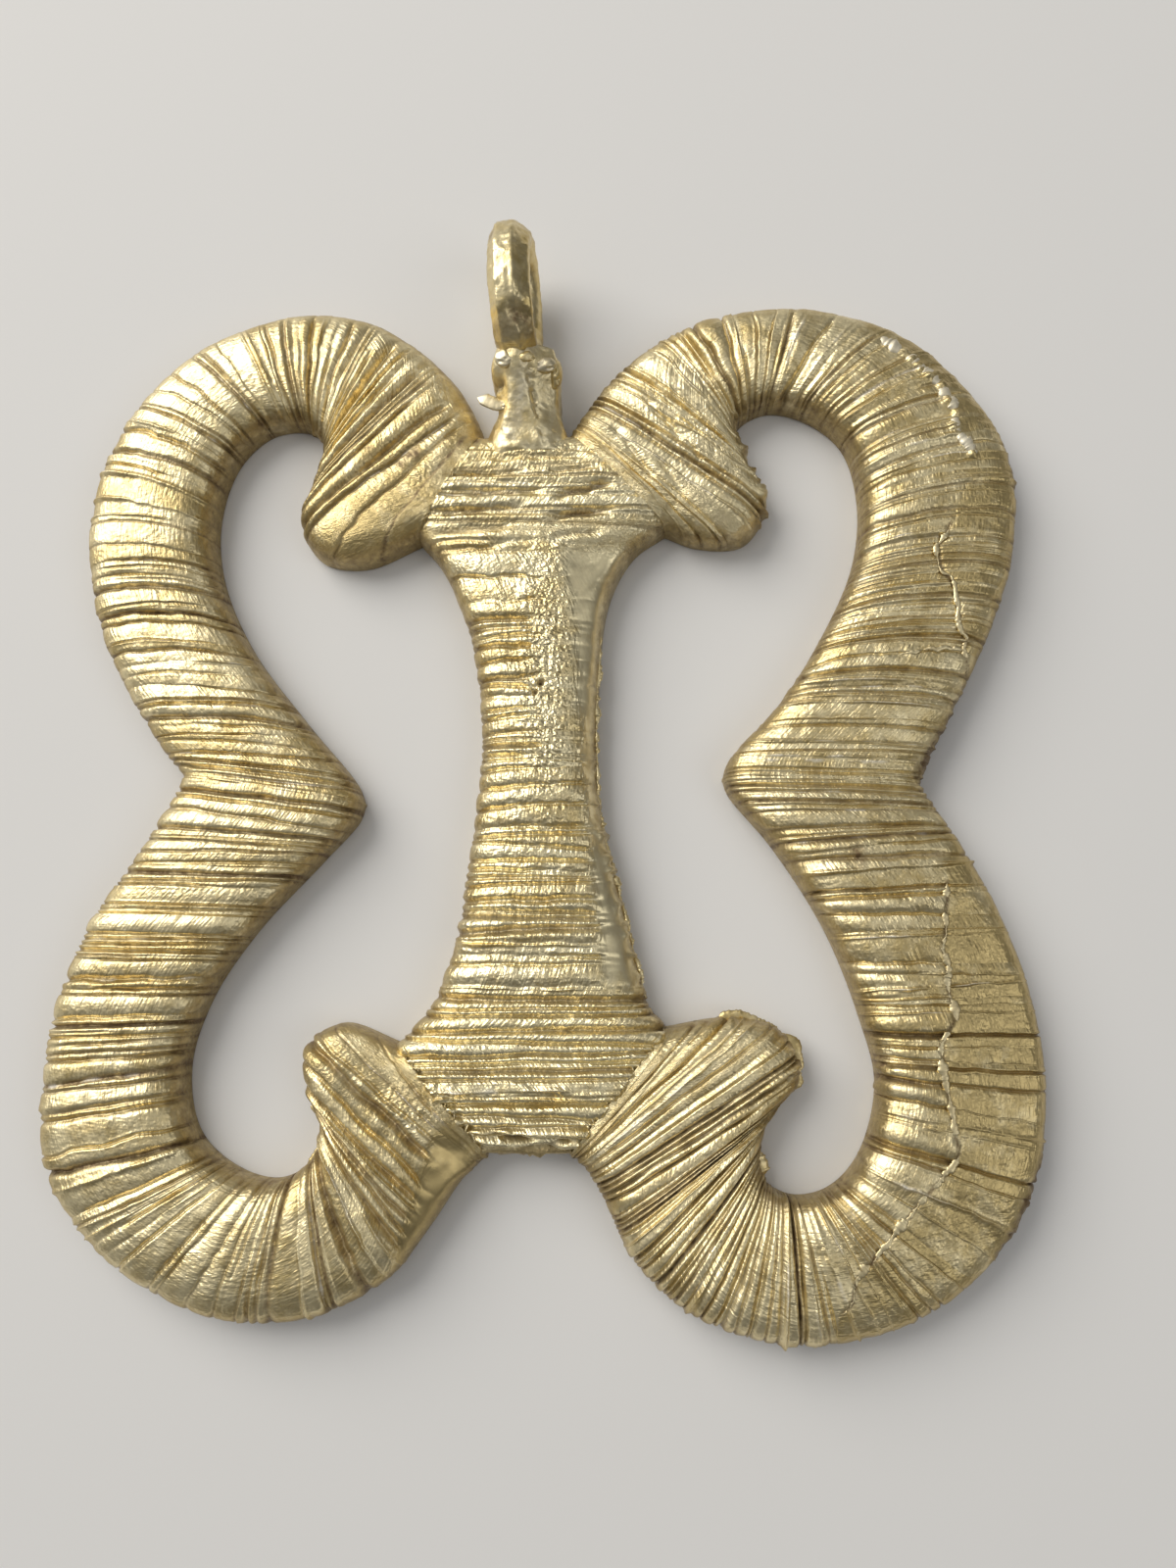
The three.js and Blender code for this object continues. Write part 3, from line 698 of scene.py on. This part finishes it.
# Where the ribs of each piece are worn away, and where only the deepest are left, as functions of the
# share along it, the share across it and the place.
def upper_left_smooth(along, across, x, y):
    return 0.9 * smooth_step(along, 0.5, 0.62) * smooth_step(across, 0.84, 0.93), 0


def lower_left_smooth(along, across, x, y):
    return 0.97 * filed(LOBE_BEVEL, x, y), 0


def upper_right_smooth(along, across, x, y):
    patch = bell(((x - 31.2) / 1.6) ** 2 + ((y - 27.2) / 3) ** 2)
    rim = smooth_step(across, 0.7, 0.9) * between(x, 13, 17, 26, 29) * smooth_step(y, 28, 31)
    quiet = beyond(UPPER_RIGHT_LIMIT, x, y) * smooth_step(x, 22, 25)
    return np.maximum(0.8 * patch, 0.85 * rim), quiet * (0.55 + 0.45 * smooth_step(y, 18, 26))


def lower_right_smooth(along, across, x, y):
    return 0, beyond(LOWER_RIGHT_LIMIT, x, y)


# Pitch and depth of the ribs, their random seed, the zones where they differ, where they are worn, and
# how far they bow.
HORN_RIBS = {
    "upper_left_horn": (0.75, 0.17, 11, (
        (0.3, 0.95, 1.3, 1, 0.75, 0.1), (0.62, 1.3, 1.2, 0.9, 0.5, 0.2), (0.72, 1.1, 1.2, 1.2, 1, 0.3),
        (0.965, 1, 2, 1.7, 1.2, 0.1), (1, 2, 0, 1, 1, 0),
    ), upper_left_smooth, 0.4),
    "lower_left_horn": (0.78, 0.18, 23, (
        (0.35, 0.95, 1.2, 1, 1.6, 0), (0.8, 1.4, 1.1, 1.1, 1, 0.15), (0.95, 1.5, 2, 1.5, 2.2, 0.1),
        (1, 1.5, 0.4, 1, 1, 0),
    ), lower_left_smooth, 0),
    "upper_right_horn": (0.62, 0.15, 37, (
        (0.45, 1, 1.1, 1, 1, 0.25), (0.74, 1.7, 1, 1, 1, 0.1), (1, 1.15, 2, 0.9, 2, 0.3),
    ), upper_right_smooth, 0.6),
    "lower_right_horn": (0.8, 0.18, 41, (
        (0.1, 1.1, 1, 1, 1.2, 0), (0.45, 1.2, 1.3, 0.9, 2.6, 0.25), (0.66, 1.35, 1.3, 1, 1.2, 0.6),
        (1, 0.84, 2.1, 0.95, 1.8, 0.2),
    ), lower_right_smooth, 0),
}


def horn_sheet(name):
    """Sheet, wear and thread coordinates of a horn's skin."""
    pitch, depth, seed, zones, smooth_side, bow = HORN_RIBS[name]
    rows = HORN_THREADS[name]
    inner_points, outer_points = [row[:2] for row in rows], [row[2:] for row in rows]
    gauge = along_curve(inner_points) * (1 - RIB_GAUGE) + along_curve(outer_points) * RIB_GAUGE
    run_of = run_along(gauge)

    def rails(run):
        shares = np.interp(run.ravel(), run_of, CURVE_SHARES)
        return (along_curve(line, shares).reshape(*run.shape, 2) for line in (inner_points, outer_points))

    threads = lay_threads(run_of[-1], pitch, depth, seed, zones)
    sheet, wear, thread = band_sheet(rails, threads, seed, (0.2, 1.2), smooth_side, bow)
    return pushed_ends(sheet), wear, thread


def pushed_ends(sheet):
    """Lets the two ends run a little into the neighbours, as a weld does."""
    sheet = sheet.copy()
    for end, before in ((0, 4), (-1, -5)):
        middle = sheet[end].mean(axis=0) - sheet[before].mean(axis=0)
        middle[2] = 0
        sheet[end, :, :2] += (middle / np.linalg.norm(middle) * WELD_OVERLAP)[:2]
    return sheet


def spool_edge(lower, upper, flank, levels):
    """One edge of the spool at each height: a shoulder line, the flank, a shoulder line."""
    path = np.vstack([[lower[2:]], along_curve(flank), [upper[2:]]])
    return np.dstack([np.interp(levels, path[:, 1], path[:, 0]), levels]).reshape(*levels.shape, 2)


def spool_smooth(along, across, x, y):
    ragged_x = x + 0.7 * mottle(x / 1.1, y / 0.7, 71)
    worn = smooth_step(ragged_x, -1.4, 0.4) * between(y, -4, 5, 16.5, 18.5)
    return np.maximum(0.97 * filed(SPOOL_BEVEL, x, y), 0.88 * worn), 0


def spool_sheet():
    low, high = LOWER_LEFT[3], UPPER_LEFT[3]

    def rails(run):
        levels = run + low
        return (
            spool_edge(LOWER_LEFT, UPPER_LEFT, left_flank, levels),
            spool_edge(LOWER_RIGHT, UPPER_RIGHT, right_flank, levels),
        )

    zones = ((0.36, 1.05, 1.5, 1.3, 2.6, 0.1), (0.8, 1.15, 1.7, 1.4, 2.4, 0), (1, 1, 0.3, 1, 0.6, 0))
    threads = lay_threads(high - low, 0.8, 0.18, 53, zones, 1.5)
    threads["dirt"] *= 0.65
    return band_sheet(rails, threads, 53, (0.4, 0.4), spool_smooth)


# Bail. A stem station is a height on the part and x, z of the section's corners: back left, left edge, the
# two sides of the top facet, the foot of the groove beside it, right edge, back right.
STEM_STATIONS = (
    (23.6, -4.4, 0.5, -4.2, 1.9, -3, 3.3, 0.6, 3.3, 1.2, 3.1, 2.3, 2.5, 2.5, 0.5),
    (24.8, -4.4, 0.3, -4.2, 2.2, -2.9, 3.85, 0.5, 3.85, 1, 3.5, 2.2, 2.7, 2.4, 0.3),
    (25.8, -4.1, 0.2, -3.9, 2.3, -2.7, 4.05, 0.2, 4.05, 0.7, 3.7, 2, 2.8, 2.2, 0.2),
    (26.6, -3.7, 0.2, -3.5, 2.6, -2.5, 4.35, -0.2, 4.3, 0.3, 3.9, 1.7, 3, 1.9, 0.2),
    (27.5, -3.2, 0.3, -3.1, 3, -2.2, 4.7, -0.5, 4.65, -0.1, 4.2, 1.4, 3.3, 1.55, 0.4),
    (28.9, -3.3, 0.8, -3.3, 3.9, -1.95, 5.4, -0.9, 5.4, -0.4, 4.9, 1.4, 3.8, 1.45, 0.9),
    (30.2, -3.6, 1.2, -3.4, 5, -1.9, 6.2, -1, 6.2, -0.5, 5.8, 1.5, 4.5, 1.4, 1.4),
    (31.3, -3.3, 1.9, -3.1, 5.3, -2, 6.4, -1.2, 6.4, -0.6, 6, 1.1, 5, 1, 2.1),
)
STEM_ROWS = 110
STEM_AROUND = 96

RING_LENGTH = 10.7
RING_HEIGHT = 9.0
RING_WIRE_DEPTH = 2.3
RING_WIRE_WIDTH = 3.0
RING_FLOOR = 0.3
RING_LEAN = 0.06
RING_SWING = 0.05
RING_SEAT = 30.7
RING_SEAT_DEPTH = 0.45
RING_MIDDLE_X = -1.5
RING_ROWS = 200
RING_AROUND = 60

TRAIL_SPACING = 0.08
TRAIL_AROUND = 10


def rounded_section(corners, count, rounding):
    """Closed section through the corners, evenly spaced, with its corners rubbed round."""
    path = np.vstack([corners, corners[:1]])
    section = points_along(path, np.linspace(0, run_along(path)[-1], count, endpoint=False))
    for _ in range(rounding):
        section = (np.roll(section, 1, axis=0) + 2 * section + np.roll(section, -1, axis=0)) / 4
    return section


def stem_sheet():
    rows = []
    for row in along_curve(STEM_STATIONS, np.linspace(0, 1, STEM_ROWS)):
        section = rounded_section(row[1:].reshape(-1, 2), STEM_AROUND, 5)
        rows.append(np.column_stack([section[:, 0], np.full(STEM_AROUND, row[0]), section[:, 1]]))
    sheet = np.array(rows)
    outward = sheet - sheet.mean(axis=1, keepdims=True)
    outward[:, :, 1] = 0
    outward /= np.linalg.norm(outward, axis=2)[:, :, None]
    x, y, z = np.moveaxis(sheet, 2, 0)
    seam = 0.15 - 0.24 * (y - 26)
    beads = bell((x - seam) / 0.22) * smooth_step(z, 3, 4)
    pits = mottle(x / 0.25, y / 0.28, 81)
    notch = bell((x + 3.0) / 0.4, (y - 29.0) / 0.3) * smooth_step(z, 2.5, 3.5)
    relief = -0.3 * beads * np.maximum(0.3 + pits, 0) - 0.45 * notch
    relief += 0.07 * crumple(y, z + x, 1.3, 83) + 0.02 * mottle(y / 0.25, (x + z) / 0.25, 85)
    relief += 0.16 * mottle(x / 0.7, y / 0.5, 87) * (1 - smooth_step(y, 24.8, 26.4))
    dirt = np.clip(0.8 * notch + 0.6 * beads * np.maximum(pits, 0), 0, 1)
    # Painted shade: the stem's sides go darker towards the floor.
    dirt = np.maximum(dirt, 0.5 * (1 - smooth_step(z, 1.5, 3.2)))
    pale = 0.55 * bell(x + 1.3 - 0.25 * (y - 28)) * smooth_step(z, 3, 4)
    wear = np.dstack([dirt, pale, np.full(x.shape, 0.5)])
    return sheet + outward * relief[:, :, None], wear


def ring_sheet():
    """Oval loop of wire on edge, flattened where it is welded on, with facets worn along its outside."""
    turn = np.linspace(0, 2 * math.pi, RING_ROWS, endpoint=False)[:, None]
    round_wire = np.linspace(0, 2 * math.pi, RING_AROUND, endpoint=False)[None, :]
    side, out = np.sin(round_wire), np.cos(round_wire)
    for angle, limit in ((math.radians(-10), 0.9), (math.radians(44), 0.87), (math.radians(-62), 0.9)):
        over = np.maximum(out * math.cos(angle) + side * math.sin(angle) - limit, 0)
        out -= over * math.cos(angle)
        side -= over * math.sin(angle)
    wear = 0.035 * crumple(turn * 5, round_wire * 1.2, 1.0, 91)
    wear += 0.012 * mottle(turn * 20, round_wire * 5, 93)
    wear += 0.016 * mottle(turn * 18 + round_wire * 4, round_wire * 0.8, 95)
    side = side * (1 + wear)
    out = out * (1 + wear) + wear
    middle_y = RING_SEAT + RING_LENGTH / 2 - RING_SEAT_DEPTH
    middle_z = RING_FLOOR + RING_HEIGHT / 2
    inset = RING_WIRE_DEPTH / 2 * (out - 1)
    y = middle_y + (RING_LENGTH / 2 + inset) * np.cos(turn)
    z = middle_z + (RING_HEIGHT / 2 + inset) * np.sin(turn)
    x = RING_MIDDLE_X - RING_SWING * (y - RING_SEAT) - RING_LEAN * (z - middle_z)
    x = x + RING_WIRE_WIDTH / 2 * side
    hollow = bell((x + 1.2) / 0.75, (y - 32.4) / 0.55) * smooth_step(z, 5, 6)
    nick = bell((x + 3.3) / 0.3, (y - 38.6) / 0.8) * smooth_step(z, 5, 6)
    z = z - 0.55 * hollow - 0.15 * nick
    y = np.maximum(y, RING_SEAT - 0.3)
    # Painted shade in the crease where the ring rises from the stem's top, carried as dirt.
    low = bell((y - 31.6) / 0.7) * smooth_step(z, 4, 6)
    dirt = np.clip(0.9 * hollow + 0.8 * nick + 0.55 * low, 0, 1)
    # Painted shade: the ring's right side, away from the key lamp, is deeper in tone.
    tone = np.clip(0.8 - 0.8 * np.maximum(side, 0), 0, 1)
    return np.dstack([x, y, z]), np.dstack([dirt, dirt * 0, tone])


def blob(name, middle, radii, seed, finish=None):
    """Small drop of metal at the stem, from an icosphere."""
    shell = bmesh.new()
    bmesh.ops.create_icosphere(shell, subdivisions=5, radius=1)
    for vert in shell.verts:
        place = np.array(vert.co) * 2.2 + 9
        dent = 1 + 0.12 * float(mottle(place[0], place[1] + place[2], seed))
        vert.co = Vector([vert.co[k] * radii[k] * dent for k in range(3)]) * MM + Vector(middle) * MM
    return new_piece(name, shell, "stem_brass", finish=finish)


def trail(
    name, path, radius, seed, finish=None, height=None, section=(1.3, 0.8), uneven=1.6, slot="horn_brass"
):
    """Thin irregular thread of metal through points x, y, on the skin or at a height. Its section is the
    half width and half height, as shares of the radius."""
    spots = resampled(path, TRAIL_SPACING)
    ahead = headings(spots)
    across = np.column_stack([-ahead[:, 1], ahead[:, 0]])
    draw = np.random.default_rng(seed)
    count = len(spots)
    sway = [np.convolve(draw.normal(0, 0.05, count + 6), np.ones(7) / 3, "valid") for _ in (0, 1)]
    spots = spots + np.column_stack(sway)
    level = skin_height(inset_of(*spots.T)) if height is None else np.full(count, height)
    swell = np.convolve(draw.normal(0.9, uneven, count + 8), np.ones(9) / 9, "valid")
    size = radius * np.clip(swell, 0.15, 2) * between(np.arange(count), -1, 6, count - 7, count)
    points = np.zeros((count, TRAIL_AROUND, 3))
    for k, angle in enumerate(np.linspace(0, 2 * math.pi, TRAIL_AROUND, endpoint=False)):
        points[:, k, :2] = spots + across * (size * math.cos(angle) * section[0])[:, None]
        points[:, k, 2] = level + size * math.sin(angle) * section[1]
    return new_piece(name, wrapped(points), slot, finish=finish)


# Finishes. The patterns lie on the object's own coordinates in metres, and the mould's wrinkles on the
# thread coordinates in millimetres.
def feed(made, inputs):
    """Links inputs of a node by name or number, or sets them where the value isn't a socket."""
    for key, value in inputs.items():
        if isinstance(value, bpy.types.NodeSocket):
            made.id_data.links.new(value, made.inputs[key])
        else:
            made.inputs[key].default_value = value


def node(tree, kind, inputs=None, **settings):
    made = tree.nodes.new(kind)
    for key, value in settings.items():
        setattr(made, key, value)
    feed(made, inputs or {})
    return made


def noise_pattern(place, scale, detail, rough, stretch=None):
    tree = place.id_data
    if stretch:
        place = node(tree, "ShaderNodeMapping", {"Vector": place, "Scale": stretch}).outputs["Vector"]
    inputs = {"Vector": place, "Scale": scale, "Detail": detail, "Roughness": rough}
    return node(tree, "ShaderNodeTexNoise", inputs).outputs["Fac"]


def ramp(factor, *stops):
    """Colour ramp. A stop is a position with a colour, or with a number for a grey."""
    made = node(factor.id_data, "ShaderNodeValToRGB", {"Fac": factor})
    elements = made.color_ramp.elements
    for _ in stops[2:]:
        elements.new(0.5)
    for element, (position, colour) in zip(elements, stops):
        element.position = position
        element.color = (*(colour if isinstance(colour, tuple) else (colour,) * 3), 1)
    return made.outputs["Color"]


def mix(factor, first, second):
    """The first colour, or the second where the factor is 1. The node's inputs 6 and 7 take the colours."""
    inputs = {0: factor, 6: first, 7: (*second, 1)}
    return node(factor.id_data, "ShaderNodeMix", inputs, data_type="RGBA").outputs[2]


def link_math(operation, *values):
    """Math node in the tree of its first value."""
    inputs = dict(enumerate(values))
    return node(values[0].id_data, "ShaderNodeMath", inputs, operation=operation).outputs[0]


def new_material(name):
    """A material with its shader."""
    material = bpy.data.materials.new(name)
    material.use_nodes = True
    return material, material.node_tree.nodes["Principled BSDF"]


def brass(name, pale, deep, least_rough, most_rough, grain_depth, residue=0.0):
    """Cast brass: pale and deep gold by thread and in patches, with painted light and shade in its tone,
    brown and whitish dirt in the grooves, brown painted shade on the walls and low sides, and fine wrinkles
    from the mould that run across and along the threads."""
    material, shader = new_material(name)
    tree = material.node_tree
    place = node(tree, "ShaderNodeTexCoord").outputs["Object"]
    wear, thread = (
        node(tree, "ShaderNodeAttribute", attribute_name=field).outputs["Vector"]
        for field in ("wear", "thread")
    )
    dirt_and_shade, paleness, tone = node(tree, "ShaderNodeSeparateXYZ", {0: wear}).outputs
    rough = node(tree, "ShaderNodeSeparateXYZ", {0: thread}).outputs["Z"]
    patches = noise_pattern(place, 500, 6, 0.7)
    shade = link_math("MULTIPLY_ADD", tone, 0.2, patches)
    gold = ramp(shade, (0.44, deep), (0.72, pale))
    specks = noise_pattern(place, 1500, 4, 0.7)
    # Dirt of the grooves, and painted shade on the walls.
    dirt = link_math("MULTIPLY", dirt_and_shade, link_math("MULTIPLY_ADD", specks, 1.6, -0.1))
    stain_and_shade = ramp(dirt, (0.12, 0.0), (0.75, 1.0))
    film = link_math("MULTIPLY_ADD", paleness, link_math("MULTIPLY", specks, 1.7), residue)
    white = ramp(film, (0.3, 0.0), (0.9, 0.8))
    colour = mix(white, mix(stain_and_shade, gold, TARNISH_AND_SHADE), WHITE_RESIDUE)
    soil_and_shade = link_math("MAXIMUM", stain_and_shade, white)
    cloud = noise_pattern(place, 900, 5, 0.65)
    dull = link_math("MULTIPLY_ADD", soil_and_shade, 0.25, cloud)
    ripple = noise_pattern(place, 3000, 1.2, 0.5)
    grain = link_math("MULTIPLY", ripple, link_math("MULTIPLY_ADD", rough, 3, 0.7))
    wrinkles = noise_pattern(thread, 1, 1, 0.5, (1.1, 4.8, 0))
    streaks = noise_pattern(thread, 1, 1, 0.5, (5, 0.6, 0))
    unfiled = link_math("MULTIPLY_ADD", rough, 4.5, 1)
    hatch = link_math("MULTIPLY_ADD", wrinkles, 1.0, link_math("MULTIPLY", streaks, 0.35))
    height = link_math("MULTIPLY_ADD", hatch, link_math("MINIMUM", unfiled, 1), grain)
    bump = node(tree, "ShaderNodeBump", {"Strength": 1, "Distance": grain_depth * MM, "Height": height})
    feed(shader, {
        "Base Color": colour,
        "Metallic": ramp(soil_and_shade, (0, 1), (1, 0.45)),
        "Roughness": ramp(dull, (0.3, least_rough), (0.72, most_rough)),
        "Normal": bump.outputs["Normal"],
    })
    return material


# Dark brown of the tarnish in the grooves, also used as painted shade on the walls.
TARNISH_AND_SHADE = (0.17, 0.11, 0.05)
WHITE_RESIDUE = (0.8, 0.76, 0.66)

# Name, pale and deep gold, least and most roughness, depth of the grain in millimetres, whitish residue.
FINISHES = {
    "horn_brass": ("cast_horn_brass", (0.87, 0.75, 0.46), (0.6, 0.47, 0.22), 0.34, 0.48, 0.055),
    "spool_brass": ("cast_spool_brass", (0.9, 0.79, 0.5), (0.7, 0.56, 0.28), 0.3, 0.45, 0.075),
    "stem_brass": ("filed_stem_brass", (0.93, 0.82, 0.54), (0.72, 0.58, 0.29), 0.36, 0.5, 0.06),
    "ring_brass": ("worn_ring_brass", (0.82, 0.7, 0.42), (0.6, 0.46, 0.19), 0.27, 0.43, 0.05),
    "weld": ("pale_weld_brass", (0.85, 0.78, 0.6), (0.7, 0.6, 0.38), 0.35, 0.5, 0.03, 0.35),
    "seam": ("pale_seam_brass", (0.88, 0.78, 0.5), (0.72, 0.6, 0.35), 0.36, 0.5, 0.02, 0.15),
    "bead": ("whitish_bead_brass", (0.88, 0.8, 0.6), (0.75, 0.66, 0.45), 0.4, 0.55, 0.02, 0.55),
}
finishes = {name: brass(*values) for name, values in FINISHES.items()}

for horn in HORN_THREADS:
    new_piece(horn + "_skin", wrapped(*horn_sheet(horn)), "horn_brass", horn)
new_piece("centre_spool_skin", wrapped(*spool_sheet()), "spool_brass", "centre_spool")
new_piece("bail_stem_skin", wrapped(*stem_sheet()), "stem_brass", "bail_stem")
new_piece("bail_ring_skin", wrapped(*ring_sheet(), loop=True), "ring_brass", "bail_ring")

trail("upper_right_seam", UPPER_RIGHT_SEAM, 0.12, 5, "seam", section=(1.4, 0.6), uneven=1.2)
trail("upper_right_branch", BRANCH_PATH, 0.09, 6, "seam")
trail("upper_right_bead", BEAD_PATH, 0.32, 11, "bead", section=(1.3, 0.6), uneven=0.9)
trail("lower_right_seam", LOWER_RIGHT_SEAM, 0.13, 7, "seam", section=(1.6, 0.5), uneven=1.5)
trail("lower_right_inner_seam", INNER_SEAM_PATH, 0.07, 9, "seam")
trail("spool_fin", FIN_PATH, 0.12, 13, height=1.8, slot="spool_brass")
trail("lobe_rim_right", RIM_PATH, 0.5, 17, None, 1.5, FLASH, 0.5)
trail("lobe_web_right", RIGHT_WEB_PATH, 0.75, 19, None, 1.3, FLASH, 0.6)
trail("lobe_web_left", LEFT_WEB_PATH, 0.4, 21, None, 1.2, FLASH, 0.4)

blob("weld_drop_left", (-2.3, 30.3, 5.7), (0.75, 0.7, 0.42), 101, "weld")
blob("weld_drop_right", (0.35, 30.1, 4.95), (0.9, 0.65, 0.5), 103, "weld")
blob("weld_drop_middle", (-0.95, 30.3, 5.85), (0.7, 0.4, 0.3), 105)
blob("weld_bulge", (1.2, 29.9, 4.0), (0.42, 1.1, 0.8), 107)
blob("flash_drop", (-2.5, 27.5, 3.9), (0.3, 0.34, 0.3), 109, "weld")
trail("casting_flash", FLASH_PATH, 0.55, 25, "weld", 3.9, FLASH, 0.25, "stem_brass")

# Floor, lamps, surroundings and camera, in metres.
FLOOR_REACH = 1.5
FLOOR_GAP = 0.00005
SKY_SIDE = (-0.5, 0.4, 0.75)
SKY_STOPS = ((0.3, 0.1), (0.62, 0.16), (0.8, 0.29), (0.88, 0.48), (0.98, 0.6))
floor_shell = bmesh.new()
bmesh.ops.create_grid(floor_shell, x_segments=1, y_segments=1, size=FLOOR_REACH)
floor = shaped("floor", floor_shell)
floor.location.z = -FLOOR_GAP
paper, paper_shader = new_material("pale_floor")
feed(paper_shader, {"Base Color": (0.76, 0.75, 0.73, 1), "Roughness": 0.9})
floor.data.materials.append(paper)


def lamp(name, place, size, power, colour):
    """Round lamp that points at the middle of the pendant."""
    light = bpy.data.lights.new(name, "AREA")
    light.shape = "DISK"
    light.size = size
    light.energy = power
    light.color = colour
    holder = placed(name, light)
    holder.location = place
    holder.rotation_mode = "QUATERNION"
    holder.rotation_quaternion = (-Vector(place)).to_track_quat("-Z", "Y")


lamp("key", (-0.42, 0.36, 0.42), 0.6, 3.9, (1.0, 0.97, 0.92))
lamp("fill", (0.45, -0.15, 0.5), 0.4, 0.5, (1, 1, 1))

world = bpy.data.worlds.new("studio")
scene.world = world
world.use_nodes = True
sky = world.node_tree
background = sky.nodes["Background"]
sight = node(sky, "ShaderNodeTexCoord").outputs["Generated"]
sides = {0: sight, 1: Vector(SKY_SIDE).normalized()}
toward = node(sky, "ShaderNodeVectorMath", sides, operation="DOT_PRODUCT")
nearness = link_math("MULTIPLY_ADD", toward.outputs["Value"], 0.5, 0.5)
feed(background, {"Color": ramp(nearness, *SKY_STOPS), "Strength": 1})

camera_data = bpy.data.cameras.new("camera")
camera_data.lens = LENS
camera_data.sensor_width = 36
camera_data.clip_start = 0.005
camera_data.clip_end = 10
camera = placed("camera", camera_data)
axes = Matrix((CAMERA_RIGHT, CAMERA_UP, CAMERA_BACK)).transposed().to_4x4()
camera.matrix_world = Matrix.Translation(Vector(CAMERA_PLACE) * MM) @ axes
scene.camera = camera
scene.view_settings.view_transform = "Standard"
